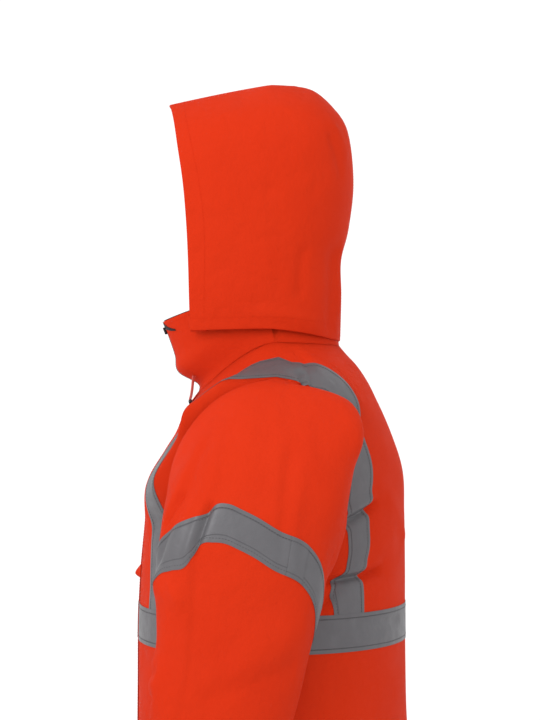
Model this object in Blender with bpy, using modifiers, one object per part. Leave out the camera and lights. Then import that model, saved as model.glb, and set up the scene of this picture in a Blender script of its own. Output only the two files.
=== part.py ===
"""Hooded hi-vis work jacket, hollow and open, in the shape it takes when worn with the hood up.

Metres, +Z up. The jacket faces -Y and its left side is +X. The origin is the middle of the neck,
where the shoulders carry it. Every cloth piece is a grid of outer points with a wall turned inwards.
Angles go round a piece in degrees: 0 at its front, 90 at its side and 180 at its back.
"""

from types import SimpleNamespace

import bmesh
import bpy
import numpy as np
from mathutils import Matrix, Vector

CLOTH_WALL = 0.0015
LINING_WALL = 0.0010
TAPE_WALL = 0.0010
SEAM_GAP = 0.0003
TAPE_WIDTH = 0.050

ARMPIT = -0.290
SHOULDER_TIP = -0.038
NECK_SEAM = 0.030
HEM = -0.760
BAND_TOP = -0.335
BAND_BOTTOM = BAND_TOP - TAPE_WIDTH

FRONT_EDGE = 0.0032
FLAP_LEFT = 0.020
FLAP_RIGHT = -0.045

# The braces' edges on the shoulder seam, measured out from the middle, and where they turn to it.
BRACE_SHOULDER = 0.133
BRACE_SHOULDER_OUTER = 0.175
BRACE_TURNS = -0.160

CUFF = 0.570
CORD_DIAMETER = 0.0040
CORD_STOP_DIAMETER = 0.0058
CORD_STOP_LENGTH = 0.0085
SLIDER_WIDTH = 0.0075
SLIDER_LENGTH = 0.0100
SLIDER_DEPTH = 0.0035
SLIDER_AT = 0.090
ZIP_END_TURN = 22
HOOD_SEAM = 0.0003
HOOD_TOP_SEAM = 0.0010
PANEL_GAP = 0.0005
SLEEVE_START = 0.0014
RIDGE_POWER = 1.5

# Rings round the body, from the hem up to the neck seam. at is the ring's station: its height as far
# as the armpit, and above that a running measure along the yoke.
BODY_COLUMNS = "at front_y front_z side_x side_y side_z back_y back_z square_front square_back"
BODY = [
    (-0.760, -0.176, -0.760, 0.222, 0.014, -0.760, 0.201, -0.760, 2.5, 2.1),
    (-0.600, -0.175, -0.600, 0.216, 0.014, -0.600, 0.200, -0.600, 2.5, 2.1),
    (-0.450, -0.174, -0.450, 0.210, 0.014, -0.450, 0.198, -0.450, 2.5, 2.0),
    (-0.350, -0.173, -0.350, 0.206, 0.014, -0.350, 0.197, -0.350, 2.5, 2.0),
    (-0.290, -0.170, -0.290, 0.204, 0.014, -0.290, 0.197, -0.290, 2.7, 2.0),
    (-0.220, -0.164, -0.225, 0.204, 0.014, -0.210, 0.196, -0.212, 3.4, 2.0),
    (-0.155, -0.160, -0.168, 0.204, 0.016, -0.132, 0.193, -0.150, 5.0, 2.0),
    (-0.100, -0.136, -0.126, 0.202, 0.016, -0.078, 0.176, -0.098, 5.4, 2.1),
    (-0.050, -0.119, -0.098, 0.190, 0.016, -0.034, 0.157, -0.056, 4.6, 2.5),
    (-0.022, -0.111, -0.078, 0.167, 0.018, -0.016, 0.143, -0.028, 3.2, 2.5),
    (0.000, -0.104, -0.066, 0.138, 0.020, 0.001, 0.128, -0.006, 2.4, 2.4),
    (0.016, -0.098, -0.056, 0.110, 0.018, 0.014, 0.115, 0.008, 2.2, 2.2),
    (0.030, -0.0915, -0.047, 0.088, 0.014, 0.024, 0.105, 0.020, 2.1, 2.1),
]

# The armhole's edge: how far it reaches from the side to the body's front and back, as a share of the
# way. turn goes from 0 at the shoulder tip to 180 at the armpit.
ARMHOLE_COLUMNS = "turn front back"
ARMHOLE = [
    (0, 0.00, 0.00),
    (13, 0.17, 0.24),
    (26, 0.34, 0.40),
    (39, 0.48, 0.46),
    (60, 0.62, 0.46),
    (90, 0.70, 0.45),
    (110, 0.72, 0.43),
    (130, 0.66, 0.36),
    (153, 0.40, 0.21),
    (180, 0.00, 0.00),
]

# Rings of the stand collar, from the neck seam to its top edge.
COLLAR_COLUMNS = BODY_COLUMNS
COLLAR = [
    (0.000, -0.0915, -0.0465, 0.0880, 0.014, 0.0245, 0.105, 0.0205, 2.1, 2.1),
    (0.014, -0.0910, -0.034, 0.0870, 0.012, 0.038, 0.1035, 0.034, 2.1, 2.1),
    (0.030, -0.118, -0.018, 0.0865, 0.008, 0.054, 0.1025, 0.050, 2.0, 2.1),
    (0.052, -0.124, 0.006, 0.0860, 0.006, 0.068, 0.1010, 0.066, 2.0, 2.1),
    (0.078, -0.132, 0.030, 0.0855, 0.004, 0.081, 0.1000, 0.082, 2.0, 2.1),
    (0.102, -0.141, 0.053, 0.0850, 0.002, 0.091, 0.0990, 0.096, 2.0, 2.1),
]

# Rings of the hood, from its hem over the collar to the seam along its top. open_deg is the angle at
# which the face opening starts.
HOOD_COLUMNS = BODY_COLUMNS + " open_deg"
HOOD = [
    (0.000, -0.101, 0.040, 0.0990, 0.004, 0.043, 0.1065, 0.027, 2.1, 2.1, 47.0),
    (0.050, -0.102, 0.090, 0.1025, 0.002, 0.092, 0.1080, 0.090, 2.2, 2.2, 51.0),
    (0.100, -0.103, 0.140, 0.1070, 0.000, 0.142, 0.1075, 0.138, 2.2, 2.2, 54.0),
    (0.150, -0.105, 0.186, 0.1120, -0.002, 0.190, 0.1180, 0.182, 2.3, 2.2, 56.0),
    (0.205, -0.110, 0.241, 0.1140, -0.004, 0.248, 0.1250, 0.252, 2.3, 2.3, 53.0),
    (0.255, -0.118, 0.292, 0.1060, -0.004, 0.302, 0.1160, 0.322, 2.3, 2.3, 47.0),
    (0.295, -0.124, 0.328, 0.0820, 0.000, 0.346, 0.0970, 0.352, 2.3, 2.3, 41.0),
    (0.330, -0.129, 0.350, 0.0460, 0.006, 0.376, 0.0730, 0.374, 2.2, 2.2, 40.0),
    (0.372, -0.132, 0.357, 0.0000, 0.012, 0.3845, 0.0420, 0.384, 2.2, 2.2, 40.0),
]

# Sections of a sleeve below the armhole seam, down to the cuff. Each is an oval between its inner and
# outer points. brow and corner square its upper quarters, in front and behind. lean is its rise for each
# metre backwards, and flare is how much deeper its back is at the top.
SLEEVE_COLUMNS = (
    "at inner_x inner_z outer_x outer_z front_y back_y square brow corner lean_front lean_back flare"
)
SLEEVE = [
    (0.030, 0.223, -0.296, 0.211, -0.032, -0.122, 0.108, 2.2, 2.0, 12.0, 0.08, -0.17, 0.152),
    (0.065, 0.226, -0.299, 0.256, -0.064, -0.126, 0.105, 2.2, 1.8, 9.0, 0.06, -0.19, 0.16),
    (0.100, 0.227, -0.306, 0.290, -0.108, -0.129, 0.098, 2.2, 1.9, 4.0, 0.00, -0.18, 0.12),
    (0.145, 0.228, -0.320, 0.317, -0.168, -0.132, 0.084, 2.2, 2.1, 2.6, -0.10, -0.16, 0.05),
    (0.200, 0.228, -0.338, 0.330, -0.232, -0.136, 0.075, 2.2, 2.2, 2.3, -0.20, -0.20, 0.00),
    (0.260, 0.226, -0.372, 0.334, -0.304, -0.136, 0.061, 2.2, 2.2, 2.2, -0.24, -0.24, 0.00),
    (0.330, 0.225, -0.432, 0.334, -0.384, -0.136, 0.044, 2.2, 2.2, 2.2, -0.30, -0.30, 0.00),
    (0.410, 0.227, -0.504, 0.330, -0.472, -0.150, 0.018, 2.2, 2.2, 2.2, -0.40, -0.40, 0.00),
    (0.490, 0.230, -0.574, 0.324, -0.552, -0.171, -0.014, 2.1, 2.1, 2.1, -0.46, -0.46, 0.00),
    (0.570, 0.234, -0.642, 0.316, -0.630, -0.192, -0.052, 2.1, 2.1, 2.1, -0.50, -0.50, 0.00),
]

# Top edge of the sleeve's tape round the sleeve: turn is 0 at the outside, 90 at the front. tuck is how
# much of the lower edge a slanting fold takes up.
BAND_COLUMNS = "turn at tuck"
BAND = [
    (0, 0.161, 0.000),
    (10, 0.156, 0.000),
    (18, 0.157, 0.002),
    (24, 0.166, 0.010),
    (28, 0.168, 0.010),
    (34, 0.169, 0.000),
    (47, 0.170, 0.000),
    (90, 0.166, 0.000),
    (135, 0.156, 0.000),
    (180, 0.150, 0.000),
    (225, 0.170, 0.000),
    (268, 0.196, 0.000),
    (290, 0.179, 0.000),
    (312, 0.172, 0.000),
    (336, 0.173, 0.000),
    (350, 0.166, 0.000),
]

# How far the braces' inner edges lie from the middle, in front and behind.
BRACE_COLUMNS = "at front back"
BRACE = [
    (-0.760, 0.115, 0.160),
    (-0.335, 0.115, 0.160),
    (-0.260, 0.125, 0.157),
    (-0.200, 0.131, 0.144),
    (-0.150, 0.132, 0.140),
    (-0.100, 0.133, 0.144),
    (-0.060, 0.133, 0.139),
    (0.004, 0.133, 0.133),
]

# The largest soft folds: ridges, or troughs where height is below zero, from one end to the other.
FOLD_COLUMNS = "side angle_1 at_1 angle_2 at_2 width height"
BODY_FOLDS = [
    (1, 119, -0.220, 146, -0.188, 0.018, -0.006),
    (1, 116, -0.291, 146, -0.276, 0.016, -0.007),
    (1, 116, -0.280, 108, -0.330, 0.016, -0.006),
    (1, 126, -0.258, 152, -0.240, 0.020, 0.004),
    (1, 30, -0.210, 62, -0.236, 0.022, -0.006),
    (1, 82, -0.040, 60, -0.062, 0.028, 0.024),
    (1, 58, -0.074, 45, -0.158, 0.034, 0.020),
    (1, 34, -0.560, 96, -0.470, 0.040, 0.006),
    (1, 120, -0.640, 165, -0.520, 0.045, 0.006),
    (-1, 106, -0.276, 146, -0.300, 0.022, -0.006),
    (-1, 110, -0.225, 140, -0.198, 0.022, -0.005),
    (-1, 32, -0.225, 66, -0.205, 0.022, -0.006),
    (-1, 80, -0.040, 60, -0.066, 0.028, 0.019),
    (-1, 55, -0.086, 46, -0.150, 0.034, 0.016),
    (-1, 40, -0.480, 88, -0.600, 0.042, 0.006),
    (-1, 118, -0.520, 160, -0.620, 0.045, 0.006),
]
SLEEVE_FOLDS = [
    (1, 40, 0.120, 74, 0.205, 0.016, -0.006),
    (1, 78, 0.235, 40, 0.262, 0.018, 0.006),
    (1, 300, 0.250, 350, 0.330, 0.026, 0.005),
    (1, 60, 0.360, 130, 0.330, 0.026, 0.008),
    (1, 52, 0.430, 120, 0.400, 0.022, -0.006),
    (1, 300, 0.460, 20, 0.500, 0.028, 0.005),
    (-1, 46, 0.130, 70, 0.210, 0.018, -0.005),
    (-1, 82, 0.230, 36, 0.270, 0.020, 0.006),
    (-1, 306, 0.270, 352, 0.320, 0.026, 0.005),
    (-1, 66, 0.350, 128, 0.372, 0.026, 0.008),
    (-1, 56, 0.420, 116, 0.436, 0.022, -0.006),
]
BODY_ROUND = 0.0034
SLEEVE_ROUND = 0.0018


def clear_scene():
    for old in list(bpy.data.objects):
        bpy.data.objects.remove(old, do_unlink=True)


def smooth_through(knots, values, at):
    """Values read off smooth curves. values holds one array for each knot, with one axis more than at."""
    slopes = np.gradient(values, knots, axis=0)
    low = np.clip(np.searchsorted(knots, at, side="right") - 1, 0, len(knots) - 2)
    span = (knots[low + 1] - knots[low])[..., None]
    part = (at - knots[low])[..., None] / span
    rise = part * part * (3 - 2 * part)
    leave = part * (1 - part) ** 2
    arrive = part * part * (part - 1)

    def taken(source, index):
        return np.take_along_axis(source, index[None, ..., None], axis=0)[0]

    ends = taken(values, low) * (1 - rise) + taken(values, low + 1) * rise
    return ends + span * (leave * taken(slopes, low) + arrive * taken(slopes, low + 1))


def read_table(columns, rows, at):
    """The named columns of a table at these stations."""
    at = np.asarray(at, float)
    table = np.array(rows, float)
    values = table[:, 1:].reshape((len(rows),) + (1,) * at.ndim + (-1,))
    values = np.broadcast_to(values, (len(rows),) + at.shape + values.shape[-1:])
    found = smooth_through(table[:, 0], values, at)
    names = columns.split()[1:]
    return SimpleNamespace(**{name: found[..., i] for i, name in enumerate(names)})


def ring_point(row, side, angle):
    """Points on rings: the front and back quarters are superellipses that meet at the side point."""
    turn = np.radians(angle)
    ahead = np.cos(turn) > 0
    power = 2 / np.where(ahead, row.square_front, row.square_back)
    sine = np.sin(turn)
    out = np.sign(sine) * np.abs(sine) ** power
    along = np.abs(np.cos(turn)) ** power
    end_y = np.where(ahead, row.front_y, row.back_y)
    end_z = np.where(ahead, row.front_z, row.back_z)
    x = side * row.side_x * out
    y = row.side_y + (end_y - row.side_y) * along
    z = row.side_z + (end_z - row.side_z) * along**RIDGE_POWER
    return np.stack([x, y, z], axis=-1)


def relief(folds, side, angle, at, metres_round):
    """How far the folds lift the cloth. metres_round is the length of one degree round the piece."""
    lift = np.zeros(np.broadcast(side, angle, at).shape)
    across, along = angle * metres_round, at
    for row in folds:
        fold = SimpleNamespace(**dict(zip(FOLD_COLUMNS.split(), row)))
        turned = fold.angle_2 + (360 if fold.angle_2 < fold.angle_1 - 180 else 0)
        start = np.array([fold.angle_1 * metres_round, fold.at_1])
        run = np.array([turned * metres_round, fold.at_2]) - start
        length = np.hypot(*run)
        for lap in (0, 360 * metres_round):
            off_x, off_y = across + lap - start[0], along - start[1]
            on = (off_x * run[0] + off_y * run[1]) / length
            beyond = np.maximum(np.abs(on - length / 2) - length / 2 + fold.width / 2, 0)
            aside = (off_x * run[1] - off_y * run[0]) / length
            share = np.exp(-(aside**2 + beyond**2) / fold.width**2)
            lift = lift + np.where(side * fold.side > 0, fold.height * share, 0)
    return lift


def body(side, angle, at):
    side, angle, at = np.broadcast_arrays(np.asarray(side, float), np.asarray(angle, float), at)
    row = read_table(BODY_COLUMNS, BODY, at)
    points = ring_point(row, side, angle)
    rise = 0.1 * np.clip((at + 0.14) / 0.09, 0, 1)
    outward = np.stack([0.25 * points[..., 0], points[..., 1] - row.side_y, rise], axis=-1)
    outward /= np.linalg.norm(outward, axis=-1, keepdims=True)
    return points + outward * relief(BODY_FOLDS, side, angle, at, BODY_ROUND)[..., None]


def collar(side, angle, at):
    return ring_point(read_table(COLLAR_COLUMNS, COLLAR, at), side, angle)


def hood(side, angle, at):
    row = read_table(HOOD_COLUMNS, HOOD, at)
    reach = np.cos(np.radians(row.open_deg)) ** (2 / row.square_front)
    row.front_y = row.side_y + (row.front_y - row.side_y) / reach
    row.front_z = row.side_z + (row.front_z - row.side_z) / reach
    return ring_point(row, side, angle)


def armhole_line(back, turn):
    """Angle from the middle and station of the armhole's edge."""
    at = ARMPIT + (SHOULDER_TIP - ARMPIT) * (1 + np.cos(np.radians(turn))) / 2
    reach = read_table(ARMHOLE_COLUMNS, ARMHOLE, turn)
    row = read_table(BODY_COLUMNS, BODY, at)
    share = np.clip(np.where(back, reach.back, reach.front), 0, 1)
    square = np.where(back, row.square_back, row.square_front)
    return np.degrees(np.arccos(share ** (square / 2))), at


def armhole_point(side, turn):
    """Points of the armhole's edge. turn goes on past the armpit and up the back to 360 at the tip."""
    back = turn > 180
    angle, at = armhole_line(back, np.where(back, 360 - turn, turn))
    return body(side, np.where(back, 180 - angle, angle), at)


def sleeve(side, turn, at):
    """A sleeve's surface: smooth curves from the armhole's edge through the sections to the cuff."""
    side, turn, at = np.broadcast_arrays(np.asarray(side, float), np.asarray(turn) % 360, at)
    table = np.array(SLEEVE)
    knots = np.concatenate([[0.0], table[:, 0]])
    cosine, sine = np.cos(np.radians(turn)), np.sin(np.radians(turn))
    rings = [armhole_point(side, turn)]
    outward = np.stack([side * cosine, -sine, 0 * at], axis=-1)
    for row in SLEEVE:
        at_row = SimpleNamespace(**dict(zip(SLEEVE_COLUMNS.split(), row)))
        square = np.where(cosine < 0, at_row.square, np.where(sine < 0, at_row.corner, at_row.brow))
        reach = (np.abs(cosine) ** square + np.abs(sine) ** square) ** (-1 / square)
        out, ahead = reach * cosine, reach * sine
        half = (at_row.back_y - at_row.front_y) / 2
        behind = np.clip(-ahead, 0, 1)
        y_off = -ahead * half * (1 + at_row.flare * behind * np.clip(out, 0, 1))
        x = at_row.inner_x + (at_row.outer_x - at_row.inner_x) * (1 + out) / 2
        lean = at_row.lean_front + (at_row.lean_back - at_row.lean_front) * behind
        z = at_row.inner_z + (at_row.outer_z - at_row.inner_z) * (1 + out) / 2 + lean * y_off
        y = (at_row.front_y + at_row.back_y) / 2 + y_off
        rings.append(np.stack([side * x, y, z], axis=-1))
    lift = relief(SLEEVE_FOLDS, side, turn, at, SLEEVE_ROUND)
    return smooth_through(knots, np.stack(rings), at) + outward * lift[..., None]


def normals_of(surface, side, angle, at):
    """Outward unit normals of a surface, by small steps round it and along it."""
    turn, step = 0.02, 0.0001
    round_it = surface(side, angle + turn, at) - surface(side, angle - turn, at)
    along_it = surface(side, angle, at + step) - surface(side, angle, at - step)
    normal = np.cross(round_it, along_it) * np.asarray(side)[..., None]
    return normal / np.linalg.norm(normal, axis=-1, keepdims=True)


def moved_out(surface, side, angle, at, by):
    """The surface's own points, moved out along its normals."""
    return surface(side, angle, at) + by * normals_of(surface, side, angle, at)


def angle_out_to(x, at, back, rows=BODY):
    """Angle from the middle at which a ring of the body, or of the collar, is this far out."""
    row = read_table(BODY_COLUMNS, rows, at)
    square = row.square_back if back else row.square_front
    share = np.clip(x / row.side_x, 0, 1)
    return np.degrees(np.arcsin(share ** (square / 2)))


def seam_station(x):
    """Station at which the shoulder seam is this far out."""
    low, high = SHOULDER_TIP, NECK_SEAM
    for _ in range(40):
        middle = (low + high) / 2
        if read_table(BODY_COLUMNS, BODY, middle).side_x > x:
            low = middle
        else:
            high = middle
    return low


def brace_edges(at, back):
    """How far out a brace's two edges are: a tape's width apart on each ring, up to the shoulder."""
    track = read_table(BRACE_COLUMNS, BRACE, at)
    inner = track.back if back else track.front
    outer = []
    for from_middle, station in zip(inner, at):
        angles = np.linspace(angle_out_to(from_middle, station, back), 90, 200)
        row = read_table(BODY_COLUMNS, BODY, station + 0 * angles)
        ring = ring_point(row, 1, 180 - angles if back else angles)
        run = np.concatenate([[0], np.cumsum(np.linalg.norm(np.diff(ring, axis=0), axis=1))])
        outer.append(np.interp(TAPE_WIDTH, run, ring[:, 0]))
    part = np.clip((at - BRACE_TURNS) / (SHOULDER_TIP - BRACE_TURNS), 0, 1)
    part = part * part * (3 - 2 * part)
    return inner, np.array(outer) * (1 - part) + BRACE_SHOULDER_OUTER * part


def steps(count):
    return np.linspace(0, 1, count + 1)


LOWER_ROWS = np.array([HEM, -0.66, -0.56, -0.47, BAND_BOTTOM, BAND_TOP, ARMPIT])
UPPER_STEPS = 14
# Rows from the armpit, at 0, to the shoulder, at 1. They crowd towards the shoulder, where lines turn.
RISE = 1 - (1 - steps(UPPER_STEPS)) ** 1.5
FLAP_STEPS, NECK_STEPS, SEAM_STEPS, BRACE_STEPS, SIDE_STEPS = 3, 4, 2, 2, 4
NECK_END = FLAP_STEPS + NECK_STEPS
BRACE_START = NECK_END + SEAM_STEPS
BRACE_END = BRACE_START + BRACE_STEPS


def between(first, last, count):
    """The columns after the first edge, up to the last one."""
    return first[:, None] + (last - first)[:, None] * steps(count)[None, 1:, None]


def upright(x, back, at):
    """A column of a panel that keeps one distance from the middle, as angles and stations."""
    return np.stack([angle_out_to(x, at, back), at], axis=-1)


def seam_angle(at, back):
    """Angle at which a panel stops, half a gap short of the side and shoulder seams."""
    row = read_table(BODY_COLUMNS, BODY, at)
    depth = np.abs((row.back_y if back else row.front_y) - row.side_y)
    square = row.square_back if back else row.square_front
    return np.degrees(np.arccos((PANEL_GAP / depth) ** (square / 2)))


def half_panel(back):
    """Angles and stations of half a front or back, from hem to shoulder and from middle to side."""
    front_edge = 0.0 if back else FRONT_EDGE
    rise = RISE[1:]
    middle_at = ARMPIT + (NECK_SEAM - ARMPIT) * rise
    all_at = np.concatenate([LOWER_ROWS, middle_at])
    middle = upright(front_edge, back, all_at)
    near = upright(FLAP_LEFT, back, all_at)
    flap = upright(-FLAP_RIGHT, back, all_at)
    lines = []
    for edge, shoulder_x in enumerate((BRACE_SHOULDER, BRACE_SHOULDER_OUTER)):
        at = ARMPIT + (seam_station(shoulder_x) - ARMPIT) * rise
        upper = upright(brace_edges(at, back)[edge], back, at)
        upper[-1, 0] = 90
        lower = upright(brace_edges(LOWER_ROWS, back)[edge], back, LOWER_ROWS)
        lines.append(np.concatenate([lower, upper]))
    inner, outer = lines
    side = np.stack([np.full_like(LOWER_ROWS, 90.0), LOWER_ROWS], axis=1)
    side = np.concatenate([side, np.stack(armhole_line(back, 180 * (1 - rise)), axis=1)])

    # Between flap and brace the top edge turns a corner, where the neckline meets the shoulder seam.
    low = len(LOWER_ROWS)
    columns = NECK_STEPS + SEAM_STEPS
    neckline = flap[-1] + (np.array([90.0, NECK_SEAM]) - flap[-1]) * steps(NECK_STEPS)[:, None]
    shoulder = neckline[-1] + (inner[-1] - neckline[-1]) * steps(SEAM_STEPS)[1:, None]
    top = np.concatenate([neckline, shoulder])
    across = steps(columns)[None, :, None]
    up = rise[:, None, None] ** 4
    chest = (
        flap[low:, None] * (1 - across)
        + inner[low:, None] * across
        + top[None] * up
        - (top[0] * (1 - across) + top[-1] * across) * up
    )
    waist = flap[:low, None] + (inner - flap)[:low, None] * across
    panel = [middle[:, None], between(middle, near, 1), between(near, flap, FLAP_STEPS - 1)]
    panel.append(np.concatenate([waist, chest])[:, 1:])
    panel.append(between(inner, outer, BRACE_STEPS))
    panel.append(between(outer, side, SIDE_STEPS))
    angle, at = np.moveaxis(np.concatenate(panel, axis=1), -1, 0)
    return np.minimum(angle, seam_angle(at, back)), at


def paint(name, colour, roughness, metallic=0.0):
    material = bpy.data.materials.new(name)
    material.use_nodes = True
    shader = material.node_tree.nodes["Principled BSDF"]
    shader.inputs["Base Color"].default_value = (*colour, 1.0)
    shader.inputs["Roughness"].default_value = roughness
    shader.inputs["Metallic"].default_value = metallic
    return material


def place(name, mesh, material):
    thing = bpy.data.objects.new(name, mesh)
    thing.data.materials.append(material)
    bpy.data.collections["hi_vis_work_jacket"].objects.link(thing)
    return thing


def cloth(name, points, normals, wall, material, base=None, closed=False):
    """An open grid laid on outer points, row by row, with its wall turned inwards by Solidify.

    Each cell is split along the diagonal that is shorter on base, so that pieces laid on one surface
    bend along the same lines.
    """
    base = points if base is None else base
    rows, columns = points.shape[:2]
    grid = bmesh.new()
    bmesh.ops.create_grid(grid, x_segments=columns - 1, y_segments=rows - 1, size=0.5)
    cell = {}
    for vertex in grid.verts:
        row = round((vertex.co.y + 0.5) * (rows - 1))
        column = round((vertex.co.x + 0.5) * (columns - 1))
        cell[vertex] = (row, column)
        vertex.co = points[row, column]
    grid.normal_update()
    facing = sum(face.normal.dot(normals[cell[face.verts[0]]]) for face in grid.faces)
    if facing < 0:
        bmesh.ops.reverse_faces(grid, faces=grid.faces)
    for face in list(grid.faces):
        corners = list(face.verts)
        spots = [base[cell[corner]] for corner in corners]
        lengths = [np.linalg.norm(spots[0] - spots[2]), np.linalg.norm(spots[1] - spots[3])]
        first = int(lengths[1] < lengths[0])
        if abs(lengths[0] - lengths[1]) < 0.04 * lengths[0]:
            heights = [abs(spot[0]) * 0.3 + spot[1] * 0.5 + spot[2] for spot in spots]
            first = int(np.argmax(heights)) % 2
        bmesh.utils.face_split(face, corners[first], corners[first + 2])
    if closed:
        bmesh.ops.remove_doubles(grid, verts=grid.verts, dist=1e-6)
    mesh = bpy.data.meshes.new(name)
    grid.to_mesh(mesh)
    grid.free()
    mesh.shade_smooth()
    thing = place(name, mesh, material)
    solid = thing.modifiers.new("wall", "SOLIDIFY")
    solid.thickness = wall
    solid.offset = -1
    return thing


def laid(name, surface, side, angle, at, lift, wall, material, closed=False):
    """A piece made from a surface's points, its inner face moved out by lift."""
    base = surface(side, angle, at)
    normals = normals_of(surface, side, angle, at)
    points = base + (np.asarray(lift)[..., None] + wall) * normals
    return cloth(name, points, normals, wall, material, base, closed)


def panel(name, side, angle, at, material):
    base = body(side, angle, at)
    cloth(name, base, normals_of(body, side, angle, at), CLOTH_WALL, material)


def build():
    clear_scene()
    jacket = bpy.data.collections.new("hi_vis_work_jacket")
    bpy.context.scene.collection.children.link(jacket)
    orange = paint("fluorescent_cloth", (0.80, 0.045, 0.012), 0.75)
    silver = paint("reflective_tape", (0.20, 0.20, 0.22), 0.45)
    dark = paint("dark_trim", (0.02, 0.015, 0.015), 0.70)

    front_angle, front_at = half_panel(back=False)
    panel("front_left", 1, front_angle, front_at, orange)
    panel("front_right", -1, front_angle, front_at, orange)

    back_angle, back_at = half_panel(back=True)
    sides = np.concatenate([np.ones(back_angle.shape[1]), -np.ones(back_angle.shape[1] - 1)])[None, :]
    from_middle = np.concatenate([back_angle[:, ::-1], back_angle[:, 1:]], axis=1)
    at = np.concatenate([back_at[:, ::-1], back_at[:, 1:]], axis=1)
    panel("back", sides, 180 - from_middle, at, orange)

    for side, word in ((1, "left"), (-1, "right")):
        make_sleeve(side, word, orange, silver)
        make_brace(side, word, front_angle, front_at, back_angle, back_at, silver)
        make_hood_half(side, word, orange)
    make_torso_band(front_angle, back_angle, silver)
    make_storm_flap(front_angle, front_at, orange, silver)
    make_collar(front_angle[-1, : NECK_END + 1], back_angle[-1, : NECK_END + 1], orange, dark)
    make_zip(front_at, dark)
    make_zip_end(dark)
    make_slider(dark)
    make_drawcord(orange, dark)


def make_sleeve(side, word, orange, silver):
    half = 180 * (1 - RISE[::-1])
    turn = np.concatenate([half, 360 - half[-2::-1]])[None, :]
    table = np.array(BAND, float)
    lap = np.array([360, 0, 0])
    edge = read_table(BAND_COLUMNS, np.concatenate([table[-2:] - lap, table, table[:3] + lap]), turn)
    top = edge.at
    above = SLEEVE_START + (top - SLEEVE_START) * steps(6)[:, None]
    across = sleeve(side, turn, top + TAPE_WIDTH) - sleeve(side, turn, top)
    width = TAPE_WIDTH**2 / np.linalg.norm(across, axis=-1) - edge.tuck
    band = top + width * steps(2)[1:, None]
    below = band[-1:] + (CUFF - band[-1:]) * steps(7)[1:, None]
    at = np.concatenate([above, band, below])
    turns = np.repeat(turn, len(at), axis=0)
    laid("sleeve_" + word, sleeve, side, turns, at, -CLOTH_WALL, CLOTH_WALL, orange, True)
    laid("sleeve_band_" + word, sleeve, side, turns[6:9], at[6:9], SEAM_GAP, TAPE_WALL, silver, True)


def make_brace(side, word, front_angle, front_at, back_angle, back_at, silver):
    """One strip of tape from the front band over the shoulder to the back band.

    It keeps every row of both panels, so that it bends where they do.
    """
    first = list(LOWER_ROWS).index(BAND_TOP)
    columns = slice(BRACE_START, BRACE_END + 1)
    angle = np.concatenate([front_angle[first:, columns], 180 - back_angle[first:, columns][::-1]])
    at = np.concatenate([front_at[first:, columns], back_at[first:, columns][::-1]])
    at[[0, -1]] += SEAM_GAP
    laid("brace_" + word, body, side, angle, at, SEAM_GAP, TAPE_WALL, silver)


def make_torso_band(front_angle, back_angle, silver):
    """The band round the body, from one edge of the storm flap to the other."""
    row = list(LOWER_ROWS).index(BAND_BOTTOM)
    band = slice(row, row + 2)
    at = LOWER_ROWS[band, None]
    back = 180 - back_angle[band, ::-1]
    left_end = angle_out_to(FLAP_LEFT + 2 * SEAM_GAP, at, False)
    right_end = angle_out_to(2 * SEAM_GAP - FLAP_RIGHT, at, False)
    left = np.hstack([left_end, front_angle[band, 2:], back])
    right = np.hstack([right_end, front_angle[band, FLAP_STEPS + 1 :], back])
    angle = np.hstack([left, right[:, -2::-1]])
    side = np.concatenate([np.ones(left.shape[1]), -np.ones(right.shape[1] - 1)])[None, :]
    laid("torso_band", body, side + 0 * angle, angle, at + 0 * angle, SEAM_GAP, TAPE_WALL, silver)


def make_storm_flap(front_angle, front_at, orange, silver):
    """The flap that covers the zip, sewn on at its left edge, and the band's piece on it."""
    right = slice(FLAP_STEPS, None, -1)
    angle = np.concatenate([front_angle[:, right], front_angle[:, :2]], axis=1)
    at = np.concatenate([front_at[:, right], front_at[:, :2]], axis=1)
    side = np.concatenate([-np.ones(FLAP_STEPS + 1), np.ones(2)])[None, :] + 0 * angle
    laid("storm_flap", body, side[:-1], angle[:-1], at[:-1], SEAM_GAP, CLOTH_WALL, orange)
    row = list(LOWER_ROWS).index(BAND_BOTTOM)
    band = slice(row, row + 2)
    lift = CLOTH_WALL + 2 * SEAM_GAP
    laid("flap_band", body, side[band], angle[band], at[band], lift, TAPE_WALL, silver)


COLLAR_ROWS = np.array([SEAM_GAP, 0.007, 0.014, 0.022, 0.030, 0.041, 0.052, 0.078, 0.102])


def make_collar(front_angle, back_angle, orange, dark):
    """The stand collar and its lining, on the neckline's own angles, open at the front for the zip."""
    half = np.concatenate([front_angle[1:], 180 - back_angle[::-1]])
    edge = angle_out_to(FRONT_EDGE, COLLAR_ROWS, False, COLLAR)[:, None]
    round_it = np.concatenate([half, half[-2::-1]])[None, :] + 0 * edge
    angle = np.hstack([edge, round_it, edge])
    side = np.concatenate([np.ones(len(half) + 1), -np.ones(len(half))])[None, :] + 0 * angle
    at = COLLAR_ROWS[:, None] + 0 * angle
    laid("collar", collar, side, angle, at, -CLOTH_WALL, CLOTH_WALL, orange)
    lift = -(CLOTH_WALL + SEAM_GAP + LINING_WALL)
    laid("collar_lining", collar, side, angle, at, lift, LINING_WALL, dark)


def make_hood_half(side, word, orange):
    stations = np.array([row[0] for row in HOOD])
    at = np.interp(steps(16), steps(len(stations) - 1), stations)[:, None]
    opening = read_table(HOOD_COLUMNS, HOOD, at).open_deg
    angle = opening + (180 - opening) * steps(16)[None, :]
    at = at + 0 * angle
    points = hood(side, angle, at)
    gap = np.where(at > stations[-1] - 0.001, HOOD_TOP_SEAM, HOOD_SEAM)
    points[..., 0] = side * np.maximum(side * points[..., 0], gap)
    normals = normals_of(hood, side, angle, np.minimum(at, stations[-1] - 0.0001))
    cloth("hood_" + word, points, normals, CLOTH_WALL, orange)


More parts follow.
